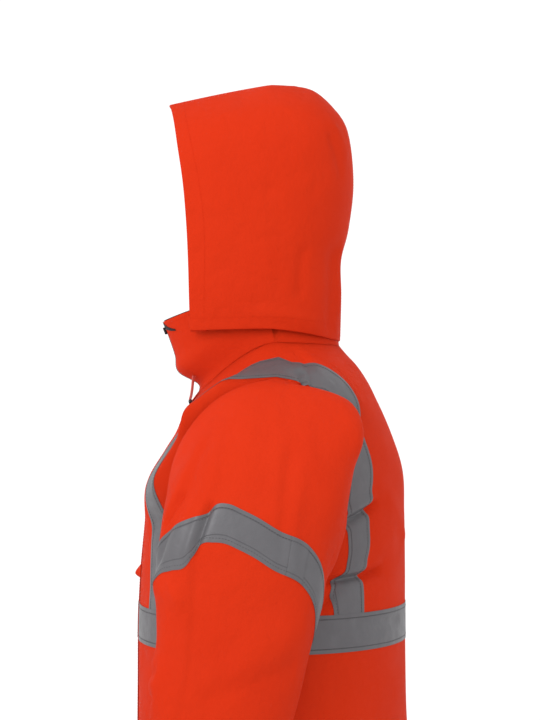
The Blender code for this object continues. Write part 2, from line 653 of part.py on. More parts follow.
def make_zip(front_at, dark):
    """The chain of the zip, between the front edges and on between the collar's ends."""
    side = np.array([[-1.0, 1.0]])
    at = np.repeat(front_at[:, :1], 2, axis=1)
    collar_at = np.repeat(COLLAR_ROWS[1:, None], 2, axis=1)
    parts = []
    for surface, rows, stations in ((body, BODY, at), (collar, COLLAR, collar_at)):
        angle = angle_out_to(FRONT_EDGE - 2 * SEAM_GAP, stations, False, rows)
        parts.append((surface(side, angle, stations), normals_of(surface, side, angle, stations)))
    points, normals = (np.concatenate(pair) for pair in zip(*parts))
    cloth("zip", points, normals, CLOTH_WALL, dark)


def make_zip_end(dark):
    """The zip's tape end, turned over the top corner of the collar's left front."""
    part = steps(4)[None, :]
    top = COLLAR_ROWS[-1] - 0.0005
    at = top - 0.013 * part - 0.005 * steps(1)[:, None]
    angle = angle_out_to(FRONT_EDGE, top, False, COLLAR) + ZIP_END_TURN * part + 0 * at
    laid("zip_end", collar, np.ones(at.shape), angle, at, SEAM_GAP, LINING_WALL, dark)


def make_slider(dark):
    """The zip's slider at the top of the closed zip: a block with rounded edges, standing on the chain."""
    foot = moved_out(collar, 1.0, 0.0, SLIDER_AT, SEAM_GAP)
    half = SLIDER_LENGTH / 2
    up = Vector(collar(1.0, 0.0, SLIDER_AT + half) - collar(1.0, 0.0, SLIDER_AT - half)).normalized()
    out = Vector(normals_of(collar, 1.0, 0.0, SLIDER_AT))
    mesh = bpy.data.meshes.new("zip_slider")
    block = bmesh.new()
    bmesh.ops.create_cube(block, size=1.0)
    bmesh.ops.scale(block, verts=block.verts, vec=(SLIDER_WIDTH, SLIDER_LENGTH, SLIDER_DEPTH))
    bmesh.ops.translate(block, verts=block.verts, vec=(0, 0, SLIDER_DEPTH / 2))
    frame = Matrix((Vector((1, 0, 0)), up, out)).transposed().to_4x4()
    frame.translation = Vector(foot)
    bmesh.ops.transform(block, matrix=frame, verts=block.verts)
    block.to_mesh(mesh)
    block.free()
    slider = place("zip_slider", mesh, dark)
    rounded = slider.modifiers.new("edges", "BEVEL")
    rounded.width = 0.0009
    rounded.segments = 2


def cord(name, route, diameter, count, material):
    """A round cord through the points of a route, with flat ends."""
    curve = bpy.data.curves.new(name, "CURVE")
    curve.dimensions = "3D"
    curve.bevel_depth = diameter / 2
    curve.bevel_resolution = 2
    curve.use_fill_caps = True
    wanted = steps(count)
    values = np.broadcast_to(route[:, None, :], (len(route), len(wanted), 3))
    smooth = smooth_through(steps(len(route) - 1), values, wanted)
    spline = curve.splines.new("POLY")
    spline.points.add(len(smooth) - 1)
    for point, position in zip(spline.points, smooth):
        point.co = (*position, 1.0)
    place(name, curve, material)


def make_drawcord(orange, dark):
    """The hood's drawcord comes out under the collar, and its stopped free end lies on the chest."""
    route = np.array(
        [
            (0.0300, -0.0975, -0.0222),
            (0.0320, -0.0985, -0.0310),
            (0.0370, -0.0992, -0.0400),
            (0.0450, -0.1004, -0.0490),
            (0.0540, -0.1015, -0.0545),
            (0.0590, -0.1008, -0.0563),
        ]
    )
    cord("drawcord", route, CORD_DIAMETER, 10, orange)
    last = route[-1] - route[-2]
    last /= np.linalg.norm(last)
    stop = np.array([route[-1] + SEAM_GAP * last, route[-1] + CORD_STOP_LENGTH * last])
    cord("cord_stop", stop, CORD_STOP_DIAMETER, 1, dark)


build()
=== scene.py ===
from types import SimpleNamespace

import bmesh
import bpy
import numpy as np
from mathutils import Matrix, Vector


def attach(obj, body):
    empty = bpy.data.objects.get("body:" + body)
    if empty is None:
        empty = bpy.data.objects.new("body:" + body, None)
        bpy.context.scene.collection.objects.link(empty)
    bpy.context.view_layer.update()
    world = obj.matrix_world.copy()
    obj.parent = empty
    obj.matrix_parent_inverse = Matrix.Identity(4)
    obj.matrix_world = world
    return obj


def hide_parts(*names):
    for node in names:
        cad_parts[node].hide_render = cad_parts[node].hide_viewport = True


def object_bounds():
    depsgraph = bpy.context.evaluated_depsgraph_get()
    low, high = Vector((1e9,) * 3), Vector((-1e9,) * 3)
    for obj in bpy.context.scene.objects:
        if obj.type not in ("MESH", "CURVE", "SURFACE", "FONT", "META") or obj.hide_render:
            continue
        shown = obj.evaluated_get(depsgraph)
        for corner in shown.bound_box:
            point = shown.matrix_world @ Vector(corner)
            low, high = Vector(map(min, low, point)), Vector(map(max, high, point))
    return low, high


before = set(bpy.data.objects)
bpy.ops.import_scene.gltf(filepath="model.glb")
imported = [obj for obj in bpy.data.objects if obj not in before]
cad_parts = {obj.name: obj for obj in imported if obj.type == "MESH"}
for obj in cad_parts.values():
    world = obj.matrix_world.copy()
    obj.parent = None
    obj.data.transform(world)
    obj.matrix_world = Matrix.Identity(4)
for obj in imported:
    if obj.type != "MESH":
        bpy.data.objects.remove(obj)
cad_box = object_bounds()


# ---- Camera ----
# It stands level with the collar, square to the jacket's left side and 3 m from its middle, so that the
# hood, the shoulder and the upper arm fill the view.
def added(name, data):
    """An object with this data, in the scene."""
    made = bpy.data.objects.new(name, data)
    bpy.context.scene.collection.objects.link(made)
    return made


camera = added("camera", bpy.data.cameras.new("camera"))
camera.data.lens = 107.14
camera.location = (3.0, 0.0084, 0.0)
camera.rotation_euler = (np.pi / 2, 0, np.pi / 2)
bpy.context.scene.camera = camera


# ---- Drawcord ----
# A round braided cord of bright polyester. It leaves the hood's hem under the collar, hangs down in front
# of the neck and lies on the chest with its free end in a stop.
class Wire:
    """The output of a shader node. Sums and products of wires and numbers add Math nodes."""

    def __init__(self, maker, socket):
        self.maker = maker
        self.socket = socket

    def maths(self, operation, first, second=0.0):
        return self.maker.node("ShaderNodeMath", {"operation": operation}, {0: first, 1: second})

    def __add__(self, other):
        return self.maths("ADD", self, other)

    def __sub__(self, other):
        return self.maths("SUBTRACT", self, other)

    def __mul__(self, other):
        return self.maths("MULTIPLY", self, other)

    def __rsub__(self, other):
        return self.maths("SUBTRACT", other, self)

    def __abs__(self):
        return self.maths("ABSOLUTE", self)

    __radd__ = __add__
    __rmul__ = __mul__


class Finish:
    """A material under construction, with its main shader and the wires that feed it."""

    # Sockets of a mix of colours: how much of the other colour, the two colours, and the result.
    MASK, COLOUR, OTHER_COLOUR, MIXED = 0, 6, 7, 2

    def __init__(self, name, colour, roughness, slot=None, **constants):
        self.slot = slot or name
        self.material = bpy.data.materials.new(name)
        self.material.use_nodes = True
        self.tree = self.material.node_tree
        self.shader = self.tree.nodes["Principled BSDF"]
        self.colour = colour
        self.shader.inputs["Base Color"].default_value = (*colour, 1.0)
        self.shader.inputs["Roughness"].default_value = roughness
        for word, value in constants.items():
            self.shader.inputs[word.replace("_", " ")].default_value = value

    def node(self, kind, settings, feeds, output=0):
        made = self.tree.nodes.new(kind)
        for word, value in settings.items():
            setattr(made, word, value)
        for socket, value in feeds.items():
            if isinstance(value, Wire):
                self.tree.links.new(value.socket, made.inputs[socket])
            else:
                made.inputs[socket].default_value = value
        return Wire(self, made.outputs[output])

    def along_uv(self, output):
        """The UV map in metres: u runs along the piece and v across it."""
        uv = self.node("ShaderNodeUVMap", {"uv_map": "UVMap"}, {})
        return self.node("ShaderNodeSeparateXYZ", {}, {0: uv}, output)

    def sine(self, phase):
        return self.node("ShaderNodeMath", {"operation": "SINE"}, {0: phase})

    def noise(self, scale, detail):
        """Soft noise on the object's own coordinates."""
        where = self.node("ShaderNodeTexCoord", {}, {}, "Object")
        return self.node("ShaderNodeTexNoise", {}, {"Vector": where, "Scale": scale, "Detail": detail})

    def tint(self, mask, other):
        """Blend the base colour towards another one where the mask is high."""
        feeds = {self.MASK: mask, self.COLOUR: (*self.colour, 1.0), self.OTHER_COLOUR: (*other, 1.0)}
        self.feed("Base Color", self.node("ShaderNodeMix", {"data_type": "RGBA"}, feeds, self.MIXED))

    def feed(self, name, wire):
        self.tree.links.new(wire.socket, self.shader.inputs[name])

    def bump(self, height, metres, before=None):
        feeds = {"Height": height, "Distance": metres, "Strength": 1.0}
        if before is not None:
            feeds["Normal"] = before
        raised = self.node("ShaderNodeBump", {}, feeds)
        self.feed("Normal", raised)
        return raised


def steps(count):
    return np.linspace(0, 1, count + 1)


def unit(vectors):
    return vectors / np.linalg.norm(vectors, axis=-1, keepdims=True)


def smooth_through(knots, values, at):
    """Values read off smooth curves. values holds one array for each knot, with one axis more than at."""
    slopes = np.gradient(values, knots, axis=0)
    low = np.clip(np.searchsorted(knots, at, side="right") - 1, 0, len(knots) - 2)
    span = (knots[low + 1] - knots[low])[..., None]
    part = (at - knots[low])[..., None] / span
    rise = part * part * (3 - 2 * part)
    leave = part * (1 - part) ** 2
    arrive = part * part * (part - 1)

    def taken(source, index):
        return np.take_along_axis(source, index[None, ..., None], axis=0)[0]

    ends = taken(values, low) * (1 - rise) + taken(values, low + 1) * rise
    return ends + span * (leave * taken(slopes, low) + arrive * taken(slopes, low + 1))


def piece_of(name, net, finish):
    """The piece that a net of faces becomes, smooth and in one body with the rest."""
    mesh = bpy.data.meshes.new(name)
    net.to_mesh(mesh)
    net.free()
    mesh.shade_smooth()
    mesh.materials.append(finish.material)
    piece = added(name, mesh)
    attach(piece, "root")
    return piece


def grid_piece(name, points, out, finish, wall=0.0, joined=False, swap=False):
    """A piece laid on a grid of points, with its UV map in metres and its wall turned inwards."""
    rows, columns = points.shape[:2]
    net = bmesh.new()
    uv_layer = net.loops.layers.uv.new("UVMap")
    bmesh.ops.create_grid(net, x_segments=columns - 1, y_segments=rows - 1, size=0.5)
    across = np.linalg.norm(np.diff(points, axis=1), axis=-1).mean(axis=0)
    along = np.linalg.norm(np.diff(points, axis=0), axis=-1).mean(axis=1)
    u, v = np.append(0, np.cumsum(across)), np.append(0, np.cumsum(along))
    for vertex in net.verts:
        row, column = divmod(vertex.index, columns)
        vertex.co = points[row, column]
    for face in net.faces:
        for loop in face.loops:
            row, column = divmod(loop.vert.index, columns)
            loop[uv_layer].uv = (v[row], u[column]) if swap else (u[column], v[row])
    net.normal_update()
    facing = sum(face.normal.dot(out[divmod(face.verts[0].index, columns)]) for face in net.faces)
    if facing < 0:
        bmesh.ops.reverse_faces(net, faces=net.faces)
    if joined:
        bmesh.ops.remove_doubles(net, verts=net.verts, dist=1e-6)
    piece = piece_of(name, net, finish)
    if wall:
        thickness = piece.modifiers.new("wall", "SOLIDIFY")
        thickness.thickness = wall
        thickness.offset = -1
        piece.modifiers.new("shading", "WEIGHTED_NORMAL").weight = 90
    return piece


def tube(route, radius, sides):
    """Points and outward directions of a round tube along a route."""
    run = unit(np.gradient(route, axis=0))
    first = unit(np.cross(run, (0.3, 0.2, 1.0)))
    second = np.cross(run, first)
    turn = 2 * np.pi * steps(sides)[None, :, None]
    out = first[:, None] * np.cos(turn) + second[:, None] * np.sin(turn)
    return route[:, None] + radius * out, out


CORD_RADIUS, CORD_STEPS, CORD_SIDES = 0.0019, 40, 16
# The braid's strands, in radians a metre along the cord and round it.
STRANDS_ALONG, STRANDS_ROUND = 2600.0, 1000.0
CORD_ROUTE = [
    (0.0300, -0.0975, -0.0222),
    (0.0320, -0.0985, -0.0310),
    (0.0370, -0.0992, -0.0400),
    (0.0450, -0.1004, -0.0490),
    (0.0540, -0.1015, -0.0545),
    (0.0590, -0.1008, -0.0563),
]
cord_route = np.array(CORD_ROUTE)
cord_knots = np.broadcast_to(cord_route[:, None], (len(cord_route), CORD_STEPS + 1, 3))
cord_line = smooth_through(steps(len(cord_route) - 1), cord_knots, steps(CORD_STEPS))
braid = Finish("braided_cord", (0.60, 0.060, 0.030), 0.7, "fluorescent_cloth", Sheen_Weight=0.3)
turned, along = braid.along_uv(1), braid.along_uv(0)
strand = braid.sine(along * STRANDS_ALONG + turned * STRANDS_ROUND)
other_strand = braid.sine(along * STRANDS_ALONG - turned * STRANDS_ROUND)
braid.tint(strand * other_strand * 0.5 + 0.4, (0.36, 0.020, 0.010))
braid.bump(strand * other_strand, 0.0003)
points, out = tube(cord_line, CORD_RADIUS, CORD_SIDES)
drawcord = grid_piece("drawcord_braid", points, out, braid, joined=True, swap=True)
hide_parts("drawcord")


# ---- Fronts and back ----
# The body of the jacket: two fronts and a back of fluorescent polyester, cut without a yoke and joined
# along the shoulders and sides. The hem is turned up and stitched.
SHOULDER_TIP = -0.038
ARMPIT = -0.290
NECK_SEAM = 0.030
HEM = -0.760
BAND_TOP = -0.335
BAND_BOTTOM = -0.385
FRONT_EDGE = 0.0032
FLAP_LEFT = 0.020
FLAP_RIGHT = -0.045
BRACE_SHOULDER = 0.133
BRACE_SHOULDER_OUTER = 0.180
BRACE_TURNS = -0.160
TAPE_WIDTH = 0.050
CLOTH_WALL = 0.0015
SEAM_DIP = 0.0003
RIDGE_POWER = 1.5
SIDES = ((1, "left"), (-1, "right"))

# Rings round the body, from the hem up to the neck seam.
BODY_COLUMNS = "at front_y front_z side_x side_y side_z back_y back_z square_front square_back"
BODY = [
    (-0.760, -0.176, -0.760, 0.222, 0.014, -0.760, 0.201, -0.760, 2.5, 2.1),
    (-0.600, -0.175, -0.600, 0.216, 0.014, -0.600, 0.200, -0.600, 2.5, 2.1),
    (-0.450, -0.174, -0.450, 0.210, 0.014, -0.450, 0.198, -0.450, 2.5, 2.0),
    (-0.350, -0.173, -0.350, 0.206, 0.014, -0.350, 0.197, -0.350, 2.5, 2.0),
    (-0.290, -0.170, -0.290, 0.204, 0.014, -0.290, 0.197, -0.290, 2.7, 2.0),
    (-0.220, -0.164, -0.225, 0.204, 0.014, -0.210, 0.196, -0.212, 3.4, 2.0),
    (-0.155, -0.160, -0.168, 0.204, 0.016, -0.132, 0.193, -0.150, 5.0, 2.0),
    (-0.100, -0.136, -0.126, 0.202, 0.016, -0.078, 0.176, -0.098, 5.4, 2.1),
    (-0.050, -0.119, -0.098, 0.190, 0.016, -0.034, 0.157, -0.056, 4.6, 2.5),
    (-0.022, -0.111, -0.078, 0.167, 0.018, -0.016, 0.143, -0.028, 3.2, 2.5),
    (0.000, -0.104, -0.066, 0.138, 0.020, 0.001, 0.128, -0.006, 2.4, 2.4),
    (0.016, -0.098, -0.056, 0.110, 0.018, 0.014, 0.115, 0.008, 2.2, 2.2),
    (0.030, -0.0915, -0.047, 0.088, 0.014, 0.024, 0.105, 0.020, 2.1, 2.1),
]

# The armhole's edge: its reach from the side to the body's front and back, as a share of the way.
ARMHOLE_COLUMNS = "turn front back"
ARMHOLE = [
    (0, 0.00, 0.00),
    (13, 0.17, 0.24),
    (26, 0.34, 0.40),
    (39, 0.48, 0.46),
    (60, 0.62, 0.46),
    (90, 0.70, 0.45),
    (110, 0.72, 0.43),
    (130, 0.66, 0.36),
    (153, 0.40, 0.21),
    (180, 0.00, 0.00),
]

# How far the braces' inner edges lie from the middle, in front and behind, and how much of the width a fold
# along the outer edge takes up behind.
BRACE_COLUMNS = "at front back tuck"
BRACE = [
    (-0.760, 0.115, 0.156, 0.000),
    (-0.335, 0.115, 0.156, 0.000),
    (-0.300, 0.120, 0.155, 0.001),
    (-0.284, 0.122, 0.154, 0.013),
    (-0.240, 0.128, 0.149, 0.014),
    (-0.200, 0.131, 0.143, 0.004),
    (-0.150, 0.132, 0.140, 0.000),
    (-0.100, 0.133, 0.147, 0.000),
    (-0.060, 0.133, 0.146, 0.000),
    (-0.030, 0.133, 0.140, 0.000),
    (0.004, 0.133, 0.133, 0.000),
]

# Folds: ridges, or troughs where height is below zero, from one end to the other. Soft ones come first,
# then sharper creases and the hem's gentle waves.
FOLD_COLUMNS = "side angle_1 at_1 angle_2 at_2 width height"
BODY_FOLDS = [
    (1, 119, -0.220, 146, -0.188, 0.018, -0.003),
    (1, 116, -0.291, 146, -0.276, 0.016, -0.003),
    (1, 116, -0.280, 108, -0.330, 0.016, -0.003),
    (1, 126, -0.258, 152, -0.240, 0.020, 0.004),
    (1, 30, -0.210, 62, -0.236, 0.022, -0.006),
    (1, 82, -0.040, 60, -0.062, 0.028, 0.024),
    (1, 58, -0.074, 45, -0.158, 0.034, 0.009),
    (1, 34, -0.560, 96, -0.470, 0.040, 0.006),
    (1, 120, -0.640, 165, -0.520, 0.045, 0.006),
    (-1, 106, -0.276, 146, -0.300, 0.022, -0.006),
    (-1, 110, -0.225, 140, -0.198, 0.022, -0.005),
    (-1, 32, -0.225, 66, -0.205, 0.022, -0.006),
    (-1, 80, -0.040, 60, -0.066, 0.028, 0.019),
    (-1, 55, -0.086, 46, -0.150, 0.034, 0.005),
    (-1, 40, -0.480, 88, -0.600, 0.042, 0.006),
    (-1, 118, -0.520, 160, -0.620, 0.045, 0.006),
    (1, 47, -0.012, 32, -0.085, 0.030, -0.007),
    (-1, 47, -0.012, 32, -0.085, 0.030, -0.005),
    (1, 118, -0.229, 139, -0.204, 0.005, -0.009),
    (1, 118, -0.217, 138, -0.193, 0.007, 0.004),
    (1, 114, -0.292, 142, -0.283, 0.005, -0.009),
    (1, 116, -0.282, 140, -0.273, 0.007, 0.003),
    (1, 118, -0.298, 111, -0.324, 0.005, -0.003),
    (1, 103, 0.006, 107, -0.044, 0.017, -0.007),
    (1, 97, 0.004, 102, -0.052, 0.0045, -0.005),
    (1, 100, 0.002, 104, -0.046, 0.006, 0.003),
    (1, 108, -0.012, 118, -0.040, 0.005, 0.0015),
    (1, 110, -0.022, 118, -0.052, 0.005, -0.0015),
    (1, 126, -0.346, 156, -0.353, 0.006, -0.003),
    (1, 122, -0.366, 150, -0.372, 0.007, 0.002),
    (1, 142, -0.180, 168, -0.250, 0.014, 0.003),
    (1, 100, -0.052, 112, -0.066, 0.006, -0.003),
    (1, 18, -0.400, 52, -0.440, 0.014, -0.003),
    (1, 62, -0.600, 60, -0.760, 0.028, 0.006),
    (1, 104, -0.620, 108, -0.760, 0.030, -0.005),
    (1, 150, -0.600, 146, -0.760, 0.034, 0.005),
    (-1, 118, -0.234, 139, -0.213, 0.0045, -0.006),
    (-1, 115, -0.296, 142, -0.280, 0.0045, -0.006),
    (-1, 113, -0.288, 107, -0.330, 0.005, -0.004),
    (-1, 104, 0.004, 108, -0.042, 0.017, -0.005),
    (-1, 98, 0.002, 103, -0.048, 0.005, -0.004),
    (-1, 144, -0.200, 170, -0.276, 0.014, 0.003),
    (-1, 22, -0.430, 58, -0.405, 0.015, -0.003),
    (-1, 56, -0.590, 58, -0.760, 0.030, 0.005),
    (-1, 98, -0.610, 94, -0.760, 0.028, -0.005),
    (-1, 140, -0.590, 148, -0.760, 0.032, 0.005),
]
BODY_ROUND = 0.0034
# Folds lift the cloth forwards or backwards, less to the side, and a little upwards on the shoulder.
FOLD_ASIDE, FOLD_UP, FOLD_UP_FROM, FOLD_UP_OVER = 0.25, 0.1, -0.140, 0.090


def named(columns, row):
    """A row's values under the names of their columns."""
    return SimpleNamespace(**dict(zip(columns.split(), row)))


def read_table(columns, rows, at):
    """The named columns of a table at these stations."""
    at = np.asarray(at, float)
    table = np.array(rows, float)
    values = table[:, 1:].reshape((len(rows),) + (1,) * at.ndim + (-1,))
    values = np.broadcast_to(values, (len(rows),) + at.shape + values.shape[-1:])
    found = smooth_through(table[:, 0], values, at)
    return named(columns, [at, *np.moveaxis(found, -1, 0)])


def ring_point(row, side, angle):
    """Points on rings: the front and back quarters are superellipses that meet at the side point."""
    turn = np.radians(angle)
    ahead = np.cos(turn) > 0
    power = 2 / np.where(ahead, row.square_front, row.square_back)
    sine = np.sin(turn)
    outwards = np.sign(sine) * np.abs(sine) ** power
    along = np.abs(np.cos(turn)) ** power
    end_y = np.where(ahead, row.front_y, row.back_y)
    end_z = np.where(ahead, row.front_z, row.back_z)
    x = side * row.side_x * outwards
    y = row.side_y + (end_y - row.side_y) * along
    z = row.side_z + (end_z - row.side_z) * along**RIDGE_POWER
    return np.stack([x, y, z], axis=-1)


def relief(folds, side, angle, at, metres_round):
    """How far the folds lift the cloth. metres_round is the length of one degree round the piece."""
    lift = np.zeros(np.broadcast(side, angle, at).shape)
    across, along = angle * metres_round, at
    for row in folds:
        fold = named(FOLD_COLUMNS, row)
        turned = fold.angle_2 + (360 if fold.angle_2 < fold.angle_1 - 180 else 0)
        start = np.array([fold.angle_1 * metres_round, fold.at_1])
        run = np.array([turned * metres_round, fold.at_2]) - start
        length = np.hypot(*run)
        for lap in (0, 360 * metres_round):
            off_x, off_y = across + lap - start[0], along - start[1]
            on = (off_x * run[0] + off_y * run[1]) / length
            beyond = np.maximum(np.abs(on - length / 2) - length / 2 + fold.width / 2, 0)
            aside = (off_x * run[1] - off_y * run[0]) / length
            share = np.exp(-(aside**2 + beyond**2) / fold.width**2)
            lift = lift + np.where(side * fold.side > 0, fold.height * share, 0)
    return lift


def body(side, angle, at):
    side, angle, at = np.broadcast_arrays(np.asarray(side, float), np.asarray(angle, float), at)
    row = read_table(BODY_COLUMNS, BODY, at)
    points = ring_point(row, side, angle)
    rise = FOLD_UP * np.clip((at - FOLD_UP_FROM) / FOLD_UP_OVER, 0, 1)
    outward = np.stack([FOLD_ASIDE * points[..., 0], points[..., 1] - row.side_y, rise], axis=-1)
    return points + unit(outward) * relief(BODY_FOLDS, side, angle, at, BODY_ROUND)[..., None]


def armhole_line(back, turn):
    """Angle from the middle and station of the armhole's edge."""
    at = ARMPIT + (SHOULDER_TIP - ARMPIT) * (1 + np.cos(np.radians(turn))) / 2
    reach = read_table(ARMHOLE_COLUMNS, ARMHOLE, turn)
    row = read_table(BODY_COLUMNS, BODY, at)
    share = np.clip(np.where(back, reach.back, reach.front), 0, 1)
    square = np.where(back, row.square_back, row.square_front)
    return np.degrees(np.arccos(share ** (square / 2))), at


def normals_of(surface, side, angle, at):
    """Outward unit normals of a surface, by small steps round it and along it."""
    turn, step = 0.02, 0.0001
    round_it = surface(side, angle + turn, at) - surface(side, angle - turn, at)
    along_it = surface(side, angle, at + step) - surface(side, angle, at - step)
    return unit(np.cross(round_it, along_it) * np.asarray(side)[..., None])


def angle_out_to(x, at, back, rows=BODY):
    """Angle from the middle at which a ring of the body, or of the collar, is this far out."""
    row = read_table(BODY_COLUMNS, rows, at)
    square = row.square_back if back else row.square_front
    share = np.clip(x / row.side_x, 0, 1)
    return np.degrees(np.arcsin(share ** (square / 2)))


def seam_station(x):
    """Station at which the shoulder seam is this far out."""
    low, high = SHOULDER_TIP, NECK_SEAM
    for _ in range(40):
        middle = (low + high) / 2
        if read_table(BODY_COLUMNS, BODY, middle).side_x > x:
            low = middle
        else:
            high = middle
    return low


def run_along(line):
    """The way from a line's start to each of its points."""
    return np.append(0, np.cumsum(np.linalg.norm(np.diff(line, axis=0), axis=1)))


def brace_edges(at, back):
    """How far out a brace's two edges are: a tape's width apart on each ring, up to the shoulder."""
    track = read_table(BRACE_COLUMNS, BRACE, at)
    inner = track.back if back else track.front
    outer = []
    for from_middle, station, tuck in zip(inner, at, track.tuck if back else 0 * at):
        angles = np.linspace(angle_out_to(from_middle, station, back), 90, 200)
        row = read_table(BODY_COLUMNS, BODY, station + 0 * angles)
        ring = ring_point(row, 1, 180 - angles if back else angles)
        outer.append(np.interp(TAPE_WIDTH - tuck, run_along(ring), ring[:, 0]))
    part = np.clip((at - BRACE_TURNS) / (SHOULDER_TIP - BRACE_TURNS), 0, 1)
    part = part * part * (3 - 2 * part)
    return inner, np.array(outer) * (1 - part) + BRACE_SHOULDER_OUTER * part


HEM_ROWS, BAND_ROWS, WAIST_ROWS, UPPER_STEPS = 62, 10, 16, 100
FLAP_STEPS, NECK_STEPS, SEAM_STEPS, BRACE_STEPS, SIDE_STEPS = 5, 12, 5, 12, 26
MIDDLE_STEPS = 4
# Rows from the armpit, at 0, to the shoulder, at 1. They crowd towards the shoulder, where lines turn.
RISE = 1 - (1 - steps(UPPER_STEPS)) ** 1.3
NECK_END = MIDDLE_STEPS + FLAP_STEPS + NECK_STEPS
BRACE_START = NECK_END + SEAM_STEPS
BRACE_END = BRACE_START + BRACE_STEPS
BAND_ROW = HEM_ROWS
TOP_ROW = HEM_ROWS + BAND_ROWS
LOWER_ROWS = np.concatenate(
    [
        np.linspace(HEM, BAND_BOTTOM, HEM_ROWS + 1),
        np.linspace(BAND_BOTTOM, BAND_TOP, BAND_ROWS + 1)[1:],
        np.linspace(BAND_TOP, ARMPIT, WAIST_ROWS + 1)[1:],
    ]
)


def between(first, last, count):
    """The columns after the first edge, up to the last one."""
    return first[:, None] + (last - first)[:, None] * steps(count)[None, 1:, None]


def upright(x, back, at):
    """A column of a panel that keeps one distance from the middle, as angles and stations."""
    return np.stack([angle_out_to(x, at, back), at], axis=-1)


def half_panel(back):
    """Angles and stations of half a front or back, from hem to shoulder and from middle to side."""
    rise = RISE[1:]
    middle_at = ARMPIT + (NECK_SEAM - ARMPIT) * rise
    all_at = np.concatenate([LOWER_ROWS, middle_at])
    middle = upright(0.0 if back else FRONT_EDGE, back, all_at)
    near = upright(FLAP_LEFT, back, all_at)
    flap = upright(-FLAP_RIGHT, back, all_at)
    lines = []
    for edge, shoulder_x in enumerate((BRACE_SHOULDER, BRACE_SHOULDER_OUTER)):
        at = ARMPIT + (seam_station(shoulder_x) - ARMPIT) * rise
        upper = upright(brace_edges(at, back)[edge], back, at)
        upper[-1, 0] = 90
        lower = upright(brace_edges(LOWER_ROWS, back)[edge], back, LOWER_ROWS)
        lines.append(np.concatenate([lower, upper]))
    inner, outer = lines
    side = np.stack([np.full_like(LOWER_ROWS, 90.0), LOWER_ROWS], axis=1)
    side = np.concatenate([side, np.stack(armhole_line(back, 180 * (1 - rise)), axis=1)])

    # Between flap and brace the top edge turns a corner, where the neckline meets the shoulder seam.
    low = len(LOWER_ROWS)
    columns = NECK_STEPS + SEAM_STEPS
    neckline = flap[-1] + (np.array([90.0, NECK_SEAM]) - flap[-1]) * steps(NECK_STEPS)[:, None]
    shoulder = neckline[-1] + (inner[-1] - neckline[-1]) * steps(SEAM_STEPS)[1:, None]
    top = np.concatenate([neckline, shoulder])
    across = steps(columns)[None, :, None]
    up = rise[:, None, None] ** 4
    chest = (
        flap[low:, None] * (1 - across)
        + inner[low:, None] * across
        + top[None] * up
        - (top[0] * (1 - across) + top[-1] * across) * up
    )
    waist = flap[:low, None] + (inner - flap)[:low, None] * across
    panel = [
        middle[:, None],
        between(middle, near, MIDDLE_STEPS),
        between(near, flap, FLAP_STEPS),
        np.concatenate([waist, chest])[:, 1:],
        between(inner, outer, BRACE_STEPS),
        between(outer, side, SIDE_STEPS),
    ]
    return np.moveaxis(np.hstack(panel), -1, 0)


def laid(name, surface, side, angle, at, lift, finish, wall, joined=False, swap=False):
    """A piece on a surface's points, lifted off it along its normals. It returns the piece's points."""
    side, angle, at, lift = np.broadcast_arrays(np.asarray(side, float), angle, at, lift)
    out = normals_of(surface, side, angle, at)
    points = surface(side, angle, at) + lift[..., None] * out
    return grid_piece(name, points, out, finish, wall, joined, swap)


# The section of a turned edge: how far back from the edge, and how far in from the outside.
TURNING = [
    (0.0200, -0.0036),
    (0.0100, -0.0036),
    (0.0012, -0.0036),
    (-0.0006, -0.0027),
    (-0.0010, -0.0018),
    (-0.0006, -0.0009),
]


def turned_in(angle, at, lift, degrees=0.0, metres=0.0):
    """A grid whose first row's edge goes on round a fold and back inside it, by TURNING."""
    back, inside = np.array(TURNING).T[..., None]
    inner_angle, inner_at = angle[0] + degrees * back, at[0] + metres * back
    pairs = ((inner_angle, angle), (inner_at, at), (lift[0] + inside, lift))
    return [np.concatenate([inner + 0 * whole[0], whole]) for inner, whole in pairs]


def seam_dip(grid, first=0):
    """Lift of a panel: its last row, from this column on, and its last column dip into the seams there."""
    lift = 0 * grid
    lift[-1, first:] = -SEAM_DIP
    lift[:, -1] = -SEAM_DIP
    return lift


cloth = Finish("fluorescent_cloth", (0.60, 0.031, 0.0055), 0.75, Specular_IOR_Level=0.05)
# The weave's threads, in radians a metre.
THREADS = 5700.0
weave = cloth.sine(cloth.along_uv(0) * THREADS) * cloth.sine(cloth.along_uv(1) * THREADS)
slack = cloth.noise(20.0, 4.0)
cloth.tint(cloth.noise(9.0, 4.0) * 0.45 + weave * 0.06 + 0.05, (0.50, 0.019, 0.004))
cloth.feed("Roughness", slack * 0.2 + 0.62)
cloth.bump(weave, 0.00010, cloth.bump(slack, 0.0060))

front_angle, front_at = half_panel(back=False)
back_angle, back_at = half_panel(back=True)
front_grid = turned_in(front_angle, front_at, seam_dip(front_at, NECK_END + 1), metres=1)
for side, word in SIDES:
    front = laid("front_" + word + "_cloth", body, side, *front_grid, cloth, CLOTH_WALL)
    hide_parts("front_" + word)
back_half = (180 - back_angle, back_at, seam_dip(back_at, NECK_END + 1))
back_whole = [np.hstack([grid[:, ::-1], grid[:, 1:]]) for grid in back_half]
back_grid = turned_in(*back_whole, metres=1)
back_columns = back_angle.shape[1]
back_sides = np.repeat([1.0, -1.0], [back_columns, back_columns - 1])[None, :]
back = laid("back_cloth", body, back_sides, *back_grid, cloth, CLOTH_WALL)
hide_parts("back")


